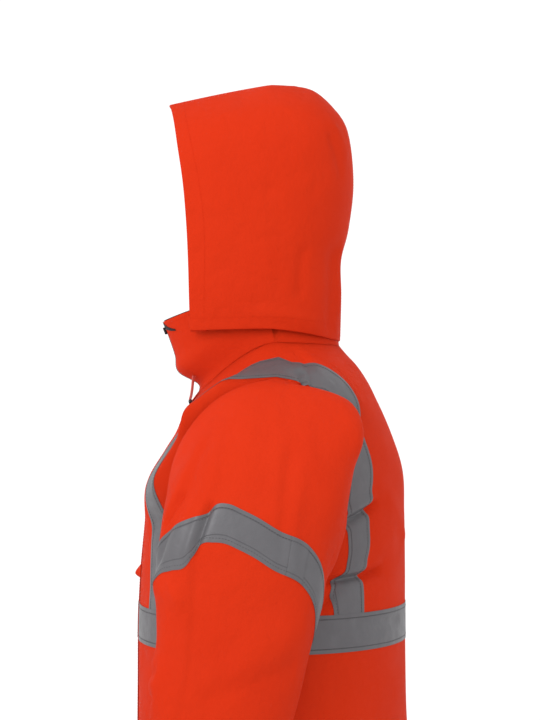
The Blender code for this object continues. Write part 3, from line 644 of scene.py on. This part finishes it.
# ---- Sleeves ----
# Set-in sleeves of the same polyester, each cut in one piece: full at the head and bent at the elbow. They
# are sewn into the armholes, and the cuff is turned in and stitched.
CUFF = 0.570
ABOVE_STEPS, TAPE_STEPS, BELOW_STEPS = 34, 10, 64
SLEEVE_COLUMNS = (
    "at inner_x inner_z outer_x outer_z front_y back_y square brow corner lean_front lean_back flare"
)
SLEEVE = [
    (0.030, 0.223, -0.296, 0.211, -0.032, -0.122, 0.108, 2.2, 2.0, 12.0, 0.08, -0.17, 0.152),
    (0.065, 0.226, -0.299, 0.256, -0.064, -0.126, 0.105, 2.2, 1.8, 9.0, 0.06, -0.19, 0.16),
    (0.100, 0.227, -0.306, 0.290, -0.108, -0.129, 0.098, 2.2, 1.9, 4.0, 0.00, -0.18, 0.12),
    (0.145, 0.228, -0.320, 0.317, -0.168, -0.132, 0.084, 2.2, 2.1, 2.6, -0.10, -0.16, 0.05),
    (0.200, 0.228, -0.338, 0.330, -0.232, -0.136, 0.075, 2.2, 2.2, 2.3, -0.20, -0.20, 0.00),
    (0.260, 0.226, -0.372, 0.334, -0.304, -0.136, 0.061, 2.2, 2.2, 2.2, -0.24, -0.24, 0.00),
    (0.330, 0.225, -0.432, 0.334, -0.384, -0.136, 0.044, 2.2, 2.2, 2.2, -0.30, -0.30, 0.00),
    (0.410, 0.227, -0.504, 0.330, -0.472, -0.150, 0.018, 2.2, 2.2, 2.2, -0.40, -0.40, 0.00),
    (0.490, 0.230, -0.574, 0.324, -0.552, -0.171, -0.014, 2.1, 2.1, 2.1, -0.46, -0.46, 0.00),
    (0.570, 0.234, -0.642, 0.316, -0.630, -0.192, -0.052, 2.1, 2.1, 2.1, -0.50, -0.50, 0.00),
]
# Soft folds, then sharper creases: at the tape, down the outside, in the crook of the elbow, above the cuff.
SLEEVE_FOLDS = [
    (1, 40, 0.120, 74, 0.205, 0.016, -0.006),
    (1, 78, 0.235, 40, 0.262, 0.018, 0.006),
    (1, 300, 0.250, 350, 0.330, 0.026, 0.005),
    (1, 60, 0.360, 130, 0.330, 0.026, 0.008),
    (1, 52, 0.430, 120, 0.400, 0.022, -0.006),
    (1, 300, 0.460, 20, 0.500, 0.028, 0.005),
    (-1, 46, 0.130, 70, 0.210, 0.018, -0.005),
    (-1, 82, 0.230, 36, 0.270, 0.020, 0.006),
    (-1, 306, 0.270, 352, 0.320, 0.026, 0.005),
    (-1, 66, 0.350, 128, 0.372, 0.026, 0.008),
    (-1, 56, 0.420, 116, 0.436, 0.022, -0.006),
    (1, 306, 0.038, 309, 0.062, 0.014, 0.008),
    (-1, 306, 0.038, 309, 0.062, 0.014, 0.006),
    (1, 22, 0.156, 31, 0.214, 0.006, -0.006),
    (1, 27, 0.158, 36, 0.214, 0.007, 0.003),
    (1, 34, 0.080, 53, 0.128, 0.010, -0.005),
    (1, 53, 0.128, 68, 0.148, 0.008, -0.007),
    (1, 49, 0.244, 37, 0.266, 0.008, 0.004),
    (1, 330, 0.080, 322, 0.205, 0.007, 0.0015),
    (1, 337, 0.100, 331, 0.215, 0.006, -0.0012),
    (1, 345, 0.070, 338, 0.160, 0.008, 0.0012),
    (1, 66, 0.352, 128, 0.344, 0.009, -0.005),
    (1, 70, 0.384, 120, 0.392, 0.008, -0.005),
    (1, 304, 0.300, 12, 0.372, 0.012, -0.003),
    (1, 320, 0.500, 40, 0.522, 0.010, -0.003),
    (1, 150, 0.470, 230, 0.500, 0.014, -0.004),
    (-1, 24, 0.150, 35, 0.218, 0.009, -0.004),
    (-1, 36, 0.090, 56, 0.140, 0.012, -0.005),
    (-1, 68, 0.346, 126, 0.352, 0.009, -0.005),
    (-1, 72, 0.392, 124, 0.384, 0.008, -0.005),
    (-1, 308, 0.310, 10, 0.360, 0.012, -0.003),
    (-1, 326, 0.508, 36, 0.494, 0.010, -0.003),
    (-1, 150, 0.480, 226, 0.464, 0.014, -0.004),
]
SLEEVE_ROUND = 0.0018

# Top edge of the sleeve's tape round the sleeve: turn is 0 at the outside, 90 at the front. tuck is how
# much of the lower edge a slanting fold takes up.
BAND_COLUMNS = "turn at tuck"
BAND = [
    (0, 0.161, 0.000),
    (10, 0.156, 0.000),
    (18, 0.157, 0.002),
    (24, 0.166, 0.010),
    (28, 0.168, 0.010),
    (34, 0.169, -0.005),
    (50, 0.170, -0.007),
    (66, 0.168, -0.002),
    (90, 0.166, 0.000),
    (135, 0.156, 0.000),
    (180, 0.150, 0.000),
    (225, 0.170, 0.000),
    (268, 0.196, 0.000),
    (290, 0.179, 0.000),
    (312, 0.172, 0.000),
    (336, 0.173, 0.000),
    (350, 0.166, 0.000),
]


def armhole_point(side, turn):
    """Points of the armhole's edge. turn goes on past the armpit and up the back to 360 at the tip."""
    behind = turn > 180
    angle, at = armhole_line(behind, np.where(behind, 360 - turn, turn))
    return body(side, np.where(behind, 180 - angle, angle), at)


def sleeve(side, turn, at):
    """A sleeve's surface: smooth curves from the armhole's edge through the sections to the cuff."""
    side, turn, at = np.broadcast_arrays(np.asarray(side, float), np.asarray(turn) % 360, at)
    knots = np.concatenate([[0.0], np.array(SLEEVE)[:, 0]])
    cosine, sine = np.cos(np.radians(turn)), np.sin(np.radians(turn))
    rings = [armhole_point(side, turn)]
    outward = np.stack([side * cosine, -sine, 0 * at], axis=-1)
    for values in SLEEVE:
        row = named(SLEEVE_COLUMNS, values)
        square = np.where(cosine < 0, row.square, np.where(sine < 0, row.corner, row.brow))
        reach = (np.abs(cosine) ** square + np.abs(sine) ** square) ** (-1 / square)
        outwards, ahead = reach * cosine, reach * sine
        share = (1 + outwards) / 2
        half = (row.back_y - row.front_y) / 2
        behind = np.clip(-ahead, 0, 1)
        y_off = -ahead * half * (1 + row.flare * behind * np.clip(outwards, 0, 1))
        x = row.inner_x + (row.outer_x - row.inner_x) * share
        lean = row.lean_front + (row.lean_back - row.lean_front) * behind
        z = row.inner_z + (row.outer_z - row.inner_z) * share + lean * y_off
        y = (row.front_y + row.back_y) / 2 + y_off
        rings.append(np.stack([side * x, y, z], axis=-1))
    lift = relief(SLEEVE_FOLDS, side, turn, at, SLEEVE_ROUND)
    return smooth_through(knots, np.stack(rings), at) + outward * lift[..., None]


half_turn = 180 * (1 - RISE[::-1])
sleeve_turn = np.concatenate([half_turn, 360 - half_turn[-2::-1]])[None, :]
wrapped = np.array(BAND, float)
lap = np.array([360, 0, 0])
wrapped = np.concatenate([wrapped[-2:] - lap, wrapped, wrapped[:3] + lap])
band_edge = read_table(BAND_COLUMNS, wrapped, sleeve_turn)
band_top = band_edge.at
above = band_top * steps(ABOVE_STEPS)[:, None]
stretched = sleeve(1, sleeve_turn, band_top + TAPE_WIDTH) - sleeve(1, sleeve_turn, band_top)
band_width = TAPE_WIDTH**2 / np.linalg.norm(stretched, axis=-1) - band_edge.tuck
band_at = band_top + band_width * steps(TAPE_STEPS)[:, None]
below = band_at[-1:] + (CUFF - band_at[-1:]) * steps(BELOW_STEPS)[1:, None]
sleeve_at = np.concatenate([above, band_at[1:], below])
sleeve_lift = 0 * sleeve_at
sleeve_lift[0] = -SEAM_DIP
turns = np.repeat(sleeve_turn, len(sleeve_at), axis=0)
sleeve_grid = turned_in(turns[::-1], sleeve_at[::-1], sleeve_lift[::-1], metres=-1)
for side, word in SIDES:
    arm = laid("sleeve_" + word + "_cloth", sleeve, side, *sleeve_grid, cloth, CLOTH_WALL, joined=True)
    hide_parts("sleeve_" + word)


# ---- Hood ----
# Two halves of the same cloth joined by a seam from the face opening over the crown to the nape, standing
# up as when worn. Its hem lies over the collar and its front edge is turned in and stitched.
HOOD_COLUMNS = BODY_COLUMNS + " open_deg"
HOOD = [
    (0.000, -0.101, 0.040, 0.0990, 0.004, 0.043, 0.1065, 0.027, 2.1, 2.1, 47.0),
    (0.050, -0.102, 0.090, 0.1025, 0.002, 0.092, 0.1080, 0.090, 2.2, 2.2, 51.0),
    (0.100, -0.103, 0.140, 0.1070, 0.000, 0.142, 0.1075, 0.138, 2.2, 2.2, 54.0),
    (0.150, -0.105, 0.186, 0.1120, -0.002, 0.190, 0.1180, 0.182, 2.3, 2.2, 56.0),
    (0.205, -0.110, 0.241, 0.1140, -0.004, 0.248, 0.1250, 0.252, 2.3, 2.3, 53.0),
    (0.255, -0.118, 0.292, 0.1060, -0.004, 0.302, 0.1160, 0.322, 2.3, 2.3, 47.0),
    (0.295, -0.124, 0.328, 0.0820, 0.000, 0.346, 0.0970, 0.352, 2.3, 2.3, 41.0),
    (0.330, -0.129, 0.350, 0.0460, 0.006, 0.376, 0.0730, 0.374, 2.2, 2.2, 40.0),
    (0.372, -0.132, 0.357, 0.0000, 0.012, 0.3845, 0.0420, 0.384, 2.2, 2.2, 40.0),
]
HOOD_FOLDS = [
    (1, 118, 0.110, 114, 0.046, 0.010, -0.003),
    (1, 150, 0.112, 147, 0.010, 0.014, -0.004),
    (1, 164, 0.120, 162, 0.030, 0.012, 0.003),
    (1, 92, 0.192, 96, 0.186, 0.012, -0.003),
    (1, 138, 0.246, 147, 0.206, 0.007, -0.003),
    (1, 144, 0.262, 156, 0.226, 0.008, 0.002),
    (1, 84, 0.022, 130, 0.012, 0.008, 0.002),
    (1, 72, 0.290, 100, 0.250, 0.016, 0.002),
    (-1, 116, 0.116, 112, 0.040, 0.011, -0.003),
    (-1, 148, 0.100, 151, 0.012, 0.014, -0.004),
    (-1, 96, 0.205, 104, 0.190, 0.012, -0.003),
    (-1, 140, 0.250, 148, 0.204, 0.007, -0.003),
    (-1, 76, 0.286, 104, 0.256, 0.016, 0.002),
]
HOOD_ROUND = 0.0019
HOOD_ROWS, HOOD_STEPS = 72, 60
CROWN_FROM, CROWN_OVER = 0.255, 0.117


def hood(side, angle, at):
    side, angle, at = np.broadcast_arrays(np.asarray(side, float), angle, at)
    row = read_table(HOOD_COLUMNS, HOOD, at)
    reach = np.cos(np.radians(row.open_deg)) ** (2 / row.square_front)
    row.front_y = row.side_y + (row.front_y - row.side_y) / reach
    row.front_z = row.side_z + (row.front_z - row.side_z) / reach
    points = ring_point(row, side, angle)
    # The ridge over the crown falls straight to the front, not in the rings' curve.
    ahead = np.clip((points[..., 1] - row.side_y) / (row.front_y - row.side_y), 0, 1)
    crown = np.clip((at - CROWN_FROM) / CROWN_OVER, 0, 1)
    points[..., 2] += crown * (row.front_z - row.side_z) * (ahead - ahead**RIDGE_POWER)
    outward = np.stack([points[..., 0], points[..., 1], 0 * at], axis=-1)
    outward /= np.linalg.norm(outward, axis=-1, keepdims=True) + 1e-6
    return points + outward * relief(HOOD_FOLDS, side, angle, at, HOOD_ROUND)[..., None]


def stations(rows, count):
    """Stations along a table, as many from each row to the next."""
    knots = [row[0] for row in rows]
    return np.interp(steps(count), steps(len(knots) - 1), knots)


hood_at = stations(HOOD, HOOD_ROWS)[:, None]
opening = read_table(HOOD_COLUMNS, HOOD, hood_at).open_deg
hood_angle = opening + (180 - opening) * steps(HOOD_STEPS)[None, :]
hood_at = hood_at + 0 * hood_angle
hood_grid = turned_in(hood_angle, hood_at, seam_dip(hood_at), metres=1)
hood_grid = [grid.T for grid in hood_grid]
hood_grid = [grid.T for grid in turned_in(*hood_grid, degrees=1 / HOOD_ROUND)]
for side, word in SIDES:
    under_top = np.minimum(hood_grid[1], HOOD[-1][0] - 0.0001)
    out = normals_of(hood, side, hood_grid[0], under_top)
    points = hood(side, *hood_grid[:2]) + hood_grid[2][..., None] * out
    points[..., 0] = side * np.maximum(side * points[..., 0], 0)
    half = grid_piece("hood_" + word + "_cloth", points, out, cloth, CLOTH_WALL)
    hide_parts("hood_" + word)


# ---- Collar ----
# A stand collar in two layers: the cloth outside and a dark lining inside, with the zip's tape end turned
# over its top corner.
COLLAR = [
    (0.000, -0.0915, -0.0470, 0.0880, 0.014, 0.0240, 0.105, 0.0200, 2.1, 2.1),
    (0.014, -0.0910, -0.034, 0.0870, 0.012, 0.038, 0.1035, 0.034, 2.1, 2.1),
    (0.030, -0.118, -0.018, 0.0865, 0.008, 0.054, 0.1025, 0.050, 2.0, 2.1),
    (0.052, -0.124, 0.006, 0.0860, 0.006, 0.068, 0.1010, 0.066, 2.0, 2.1),
    (0.078, -0.132, 0.030, 0.0855, 0.004, 0.081, 0.1000, 0.082, 2.0, 2.1),
    (0.102, -0.141, 0.053, 0.0850, 0.002, 0.091, 0.0990, 0.096, 2.0, 2.1),
]
COLLAR_ROWS, END_ROWS, END_STEPS = 40, 4, 12
LINING_OFF, LINING_ABOVE, LINING_WALL = -0.0012, 0.0012, 0.0010
# The zip tape's end: its top, its fall towards the tip, its width, how much narrower the tip is, and how
# far round the collar it goes.
END_TOP, END_FALL, END_WIDE, END_TAPER, END_DEGREES = 0.1022, 0.017, 0.0085, 0.0060, 22
END_OFF, END_WALL = 0.0009, 0.0006


def collar(side, angle, at):
    return ring_point(read_table(BODY_COLUMNS, COLLAR, at), side, angle)


lining = Finish("dark_lining", (0.020, 0.008, 0.009), 0.9, Specular_IOR_Level=0.1)
lining.tint(lining.noise(300.0, 3.0), (0.008, 0.005, 0.006))
lining.bump(lining.noise(900.0, 2.0), 0.0004)
trim = Finish("dark_trim", (0.012, 0.007, 0.008), 0.6, Specular_IOR_Level=0.15)
worn = trim.noise(400.0, 4.0)
trim.tint(worn * 0.6, (0.024, 0.016, 0.017))
trim.feed("Roughness", worn * 0.3 + 0.4)
trim.bump(worn, 0.0001)

collar_at = stations(COLLAR, COLLAR_ROWS)
collar_half = np.concatenate([front_angle[-1, 1 : NECK_END + 1], 180 - back_angle[-1, NECK_END::-1]])
collar_edge = angle_out_to(FRONT_EDGE, collar_at, False, COLLAR)[:, None]
collar_round = np.concatenate([collar_half, collar_half[-2::-1]])[None, :] + 0 * collar_edge
collar_angle = np.hstack([collar_edge, collar_round, collar_edge])
collar_side = np.repeat([1.0, -1.0], [len(collar_half) + 1, len(collar_half)])[None, :]
stand = laid("collar_cloth", collar, collar_side, collar_angle, collar_at[:, None], 0, cloth, CLOTH_WALL)
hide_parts("collar")
lining_at = collar_at[:, None].copy()
lining_at[-1] += LINING_ABOVE
inner = laid(
    "collar_inside", collar, collar_side, collar_angle, lining_at, LINING_OFF, lining, LINING_WALL
)
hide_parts("collar_lining")

end_part = steps(END_STEPS)[None, :]
end_at = END_TOP - END_FALL * end_part - (END_WIDE - END_TAPER * end_part) * steps(END_ROWS)[:, None]
end_angle = angle_out_to(FRONT_EDGE, 0.1015, False, COLLAR) + END_DEGREES * end_part + 0 * end_at
tape_end = laid("zip_tape_end", collar, 1, end_angle, end_at, END_OFF, trim, END_WALL)
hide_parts("zip_end")


# ---- Storm flap ----
# A strip of the same polyester, folded double, that covers the zip. It is sewn down along the left front,
# and its folded edge is free.
FLAP_OFF, FLAP_WALL, FREE_COLUMNS = 0.0018, 0.0012, 5
# Its free edge stands out in one corner over the torso band, and is gently wavy below the band.
CORNER_AT, CORNER_ABOVE, CORNER_BELOW, CORNER_OUT = -0.304, 0.014, 0.006, 0.012
WAVE_HEIGHT, WAVE_RATE = 0.0006, 41


def across_middle(grid):
    """The flap's share of a front's grid: mirrored past the middle, and then up to its sewn edge."""
    return np.hstack([grid[:, MIDDLE_STEPS + FLAP_STEPS : 0 : -1], grid[:, : MIDDLE_STEPS + 1]])


flap_angle, flap_at = across_middle(front_angle), across_middle(front_at)
flap_side = np.repeat([-1.0, 1.0], [MIDDLE_STEPS + FLAP_STEPS, MIDDLE_STEPS + 1]) + 0 * flap_angle
flap_rows = len(flap_at) - 1
free = np.clip(1 - np.arange(flap_at.shape[1]) / FREE_COLUMNS, 0, 1)[None, :] ** 1.5
above_corner = flap_at[:flap_rows] - CORNER_AT
corner = np.exp(-((above_corner / np.where(above_corner > 0, CORNER_ABOVE, CORNER_BELOW)) ** 2))
waves = WAVE_HEIGHT * (1 + np.sin(flap_at[:flap_rows] * WAVE_RATE)) * (flap_at[:flap_rows] < BAND_BOTTOM)
flap_lift = FLAP_OFF + free * (CORNER_OUT * corner + waves)
flap_grid = turned_in(flap_angle[:flap_rows], flap_at[:flap_rows], flap_lift, metres=1)
flap = laid("storm_flap_cloth", body, flap_side[:1], *flap_grid, cloth, FLAP_WALL)
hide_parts("storm_flap")


# ---- Reflective tape ----
# Grey retroreflective tape, 50 mm wide, sewn on with two rows of stitches: a band round the body, a brace
# over each shoulder, a band round each sleeve and a piece on the flap.
TAPE_WALL, TAPE_OFF, BAND_OFF, LAP_OFF, FLAP_TAPE_OFF = 0.0006, 0.0007, 0.0008, 0.0014, 0.0024
# How far a row of stitches lies from the tape's edge, how wide its groove is, and where a sleeve's tape laps.
# The groove is sunk and darkened with painted shade.
TAPE_ROW, GROOVE, LAP_TURN = 0.0055, 0.0012, (312, 326)
tape = Finish("reflective_tape", (0.118, 0.114, 0.122), 0.46, Metallic=0.20, Specular_IOR_Level=0.4)
off_row = abs(abs(tape.along_uv(1) - TAPE_WIDTH / 2) - (TAPE_WIDTH / 2 - TAPE_ROW))
stitch_groove_and_shade = tape.node("ShaderNodeMapRange", {}, {0: off_row, 1: 0.0, 2: GROOVE, 3: 1.0, 4: 0.0})
beads = tape.noise(1500.0, 1.0)
crinkle = tape.noise(60.0, 4.0)
# Painted shade: the tape is darkened in its stitch grooves, and the crinkle noise darkens it at random.
tape.tint(stitch_groove_and_shade * 0.5 + crinkle * 0.35, (0.060, 0.058, 0.064))
tape.feed("Roughness", crinkle * 0.2 + 0.36)
tape.bump(stitch_groove_and_shade * -1.0, 0.0005, tape.bump(crinkle, 0.0010, tape.bump(beads, 0.00008)))

strip = slice(BRACE_START, BRACE_END + 1)
strip_angle = np.concatenate([front_angle[TOP_ROW:, strip], 180 - back_angle[TOP_ROW:-1, strip][::-1]])
strip_at = np.concatenate([front_at[TOP_ROW:, strip], back_at[TOP_ROW:-1, strip][::-1]])
lap_turn = np.linspace(*LAP_TURN, 9)[None, :]
lap_rows = read_table(BAND_COLUMNS, wrapped, lap_turn).at
lap_length = np.interp(lap_turn[0], sleeve_turn[0], band_width[0])
lap_at = lap_rows + lap_length * steps(TAPE_STEPS)[:, None]
for side, word in SIDES:
    brace_name, around_name = "brace_" + word + "_tape", "sleeve_" + word + "_tape"
    brace = laid(brace_name, body, side, strip_angle, strip_at, TAPE_OFF, tape, TAPE_WALL, swap=True)
    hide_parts("brace_" + word)
    around = laid(around_name, sleeve, side, sleeve_turn, band_at, TAPE_OFF, tape, TAPE_WALL, joined=True)
    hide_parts("sleeve_band_" + word)
    lapped = laid(around_name + "_end", sleeve, side, lap_turn, lap_at, LAP_OFF, tape, TAPE_WALL)

band_rows = slice(BAND_ROW, TOP_ROW + 1)
band_back = 180 - back_angle[band_rows, ::-1]
left_half = np.hstack([front_angle[band_rows, MIDDLE_STEPS:], band_back])
right_half = np.hstack([front_angle[band_rows, MIDDLE_STEPS + FLAP_STEPS :], band_back])
band_angle = np.hstack([left_half, right_half[:, -2::-1]])
band_side = np.repeat([1.0, -1.0], [left_half.shape[1], right_half.shape[1] - 1])[None, :]
band = laid(
    "torso_tape", body, band_side, band_angle, LOWER_ROWS[band_rows, None], BAND_OFF, tape, TAPE_WALL
)
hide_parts("torso_band")
flap_part = (grid[band_rows] for grid in (flap_side, flap_angle, flap_at))
on_flap = laid("flap_tape", body, *flap_part, FLAP_TAPE_OFF, tape, TAPE_WALL)
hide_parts("flap_band")


# ---- Zip ----
# A moulded zip between the fronts and the collar's ends, closed, under the flap. Its teeth show at the neck.
# The slider stands at the top.
def on_line(run, line, where):
    """The point this far along a line, or what goes with it there."""
    return np.array([np.interp(where, run, line[:, i]) for i in range(3)])


def add_bead(net, centre, axes, radius=0.5):
    """Adds a pointed lozenge to net: these axes give its length, width and height."""
    placed = Matrix(axes).transposed().to_4x4()
    placed.translation = Vector(centre)
    bmesh.ops.create_icosphere(net, subdivisions=1, radius=radius, matrix=placed)


def zip_row(surface, rows, x, at):
    """Points and normals across the front's gap, at these distances from the middle."""
    angle = angle_out_to(np.abs(x), at, False, rows)
    side = np.where(x < 0, -1.0, 1.0) + 0 * angle
    return surface(side, angle, at), normals_of(surface, side, angle, at)


CHAIN_HALF, CHAIN_IN, CHAIN_WALL = 0.0027, 0.0004, 0.001
# A tooth's pitch, its reach across, along and out, and how far it stands aside. The teeth begin this many
# rows under the collar and end this far below its top.
TOOTH_PITCH, TOOTH_ACROSS, TOOTH_ALONG, TOOTH_OUT, TOOTH_ASIDE = 0.0015, 0.0030, 0.0013, 0.0016, 0.0009
TEETH_ROWS, TEETH_BELOW_TOP = 34, 0.012
# A step along a line that gives its direction.
NEARBY = 0.001
zip_x = np.linspace(-CHAIN_HALF, CHAIN_HALF, 5)[None, :]
under = zip_row(body, BODY, zip_x, front_at[:, :1] + 0 * zip_x)
upright_part = zip_row(collar, COLLAR, zip_x, collar_at[2:, None] + 0 * zip_x)
points, out = (np.concatenate(pair) for pair in zip(under, upright_part))
chain = grid_piece("zip_chain", points - CHAIN_IN * out, out, trim, CHAIN_WALL)
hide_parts("zip")
teeth = bmesh.new()
spine, spine_out = (
    np.concatenate([low[-TEETH_ROWS:, 2], high[:, 2]]) for low, high in zip(under, upright_part)
)
run = run_along(spine)
for number, middle in enumerate(np.arange(NEARBY, run[-1] - TEETH_BELOW_TOP, TOOTH_PITCH)):
    centre = Vector(on_line(run, spine, middle))
    normal = Vector(on_line(run, spine_out, middle)).normalized()
    along = (Vector(on_line(run, spine, middle + NEARBY)) - centre).normalized()
    across = along.cross(normal)
    centre += across * (TOOTH_ASIDE if number % 2 else -TOOTH_ASIDE)
    add_bead(teeth, centre, (across * TOOTH_ACROSS, along * TOOTH_ALONG, normal * TOOTH_OUT), 0.6)
piece_of("zip_teeth", teeth, trim)
for name in ("zip_slider", "cord_stop"):
    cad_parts[name].data.materials.clear()
    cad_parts[name].data.materials.append(trim.material)


# ---- Stitching ----
# Rows of lockstitch, 4 mm a stitch: grey along both edges of every tape, and in the cloth's colour along the
# hem, cuffs, flap, hood, collar and the seams.
def inset(surface, side, angle, at, distance):
    """The line on a grid that keeps this distance from its first column."""
    runs = [run_along(row) for row in surface(np.broadcast_to(side, angle.shape), angle, at)]
    line = [[np.interp(distance, *row) for row in zip(runs, grid)] for grid in (angle, at)]
    return np.array(line)


STITCH_PITCH, STITCH_LENGTH, STITCH_WIDTH, STITCH_HEIGHT = 0.0040, 0.0031, 0.0007, 0.0005


def sew(net, surface, side, angle, at, lift):
    """Adds a row of machine stitches to net: small pointed lozenges, half sunk, end to end on a line."""
    side, angle, at = np.broadcast_arrays(np.asarray(side, float), angle, at)
    out = normals_of(surface, side, angle, at)
    line = surface(side, angle, at) + lift * out
    run = run_along(line)
    for middle in np.arange(STITCH_PITCH / 2, run[-1], STITCH_PITCH):
        before, after = (on_line(run, line, middle + off) for off in (-NEARBY, NEARBY))
        normal = Vector(on_line(run, out, middle)).normalized()
        along = Vector(after - before).normalized()
        across = normal.cross(along)
        axes = (along * STITCH_LENGTH, across * STITCH_WIDTH, normal * STITCH_HEIGHT)
        add_bead(net, (before + after) / 2, axes)


# How far rows lie from the hem, cuff or face, and from a seam; and the thread's middle off what is under it.
HEM_ROW, SEAM_ROW, THREAD_OFF = 0.018, 0.006, 0.0001
grey_thread = Finish("tape_thread", (0.075, 0.072, 0.078), 0.7, "reflective_tape")
red_thread = Finish("seam_thread", (0.62, 0.030, 0.005), 0.8, "fluorescent_cloth", Specular_IOR_Level=0.05)
for thread, shade in ((grey_thread, (0.035, 0.034, 0.037)), (red_thread, (0.52, 0.022, 0.004))):
    thread.tint(thread.noise(2500.0, 2.0), shade)
    thread.bump(thread.noise(4000.0, 1.0), 0.0001)

# Rows from one angle and station to another: round the hood's hem, beside its centre seam and over its top;
# round the collar's top and up its front edge.
BESIDE_SEAM = 180 - 0.0045 / HOOD_ROUND
STRAIGHT_ROWS = [
    (hood, (48, 179.9), (0.016, 0.016), 60),
    (hood, (BESIDE_SEAM, BESIDE_SEAM), (0.004, 0.352), 60),
    (hood, (45, 176), (0.3655, 0.3655), 60),
    (collar, (6, 179.9), (0.096, 0.096), 60),
    (collar, (4.5, 4.5), (0.006, 0.094), 30),
]
# The hood's face opening, on the grid's first row and column that aren't turned in.
FACE = len(TURNING)
face_angle, face_at = (
    np.interp(steps(90), steps(HOOD_ROWS), grid[FACE:, FACE] + row)[5:-2]
    for grid, row in ((hood_grid[0], HEM_ROW / HOOD_ROUND), (hood_grid[1], 0))
)

tape_rows = bmesh.new()
seam_rows = bmesh.new()
for side in (1, -1):
    for flip in (1, -1):
        line = inset(body, side, strip_angle[:, ::flip], strip_at[:, ::flip], TAPE_ROW)
        sew(tape_rows, body, side, *line, TAPE_OFF + THREAD_OFF)
        edge = [grid.T for grid in (turns[: TAPE_STEPS + 1], band_at[::flip])]
        sew(tape_rows, sleeve, side, *inset(sleeve, side, *edge, TAPE_ROW), TAPE_OFF + THREAD_OFF)
    sew(seam_rows, sleeve, side, sleeve_turn[0], CUFF - HEM_ROW + 0 * sleeve_turn[0], THREAD_OFF)
    for panel_angle, panel_at in ((front_angle, front_at), (180 - back_angle, back_at)):
        line = inset(body, side, panel_angle[:, ::-1], panel_at[:, ::-1], SEAM_ROW)[:, :-3]
        sew(seam_rows, body, side, *line, THREAD_OFF)
        hem_angle = panel_angle[0, MIDDLE_STEPS:]
        sew(seam_rows, body, side, hem_angle, HEM + HEM_ROW + 0 * hem_angle, THREAD_OFF)
    sew(seam_rows, hood, side, face_angle, face_at, THREAD_OFF)
    for surface, angles, stations, count in STRAIGHT_ROWS:
        sew(seam_rows, surface, side, np.linspace(*angles, count), np.linspace(*stations, count), THREAD_OFF)
for row_at in (BAND_BOTTOM + TAPE_ROW, BAND_TOP - TAPE_ROW):
    sew(tape_rows, body, band_side[0], band_angle[0], row_at + 0 * band_angle[0], BAND_OFF + THREAD_OFF)
    on_tape = FLAP_TAPE_OFF + THREAD_OFF
    sew(tape_rows, body, flap_side[0], flap_angle[BAND_ROW], row_at + 0 * flap_angle[0], on_tape)
lowest = 4
for column in (1, -2):
    line = [grid[lowest:flap_rows, column] for grid in (flap_side, flap_angle, flap_at)]
    sew(seam_rows, body, *line, flap_lift[lowest:, column, None] + THREAD_OFF)
stitches = piece_of("tape_stitches", tape_rows, grey_thread)
seams = piece_of("seam_stitches", seam_rows, red_thread)


# ---- Stage ----
# A pale round floor under the hem, a white surround that lights from every side, and one large soft lamp in
# front of the left shoulder.
FLOOR_BELOW = 0.02
floor_mesh = bpy.data.meshes.new("floor")
disc = bmesh.new()
bmesh.ops.create_circle(disc, cap_ends=True, segments=96, radius=1.5)
bmesh.ops.translate(disc, verts=disc.verts, vec=(0, 0, cad_box[0][2] - FLOOR_BELOW))
disc.to_mesh(floor_mesh)
disc.free()
floor = added("floor", floor_mesh)
floor.data.materials.append(Finish("pale_floor", (0.82, 0.82, 0.82), 0.9).material)

world = bpy.data.worlds.new("surround")
world.use_nodes = True
light = world.node_tree.nodes["Background"].inputs
light["Color"].default_value = (1, 1, 1, 1)
light["Strength"].default_value = 1.09
bpy.context.scene.world = world
bpy.context.scene.view_settings.view_transform = "Standard"

lamp = added("lamp", bpy.data.lights.new("lamp", "AREA"))
lamp.data.energy = 40
lamp.data.size = 1.6
lamp.location = (2.2, -1.6, 1.3)
lamp.rotation_euler = (-lamp.location).to_track_quat("-Z", "Y").to_euler()
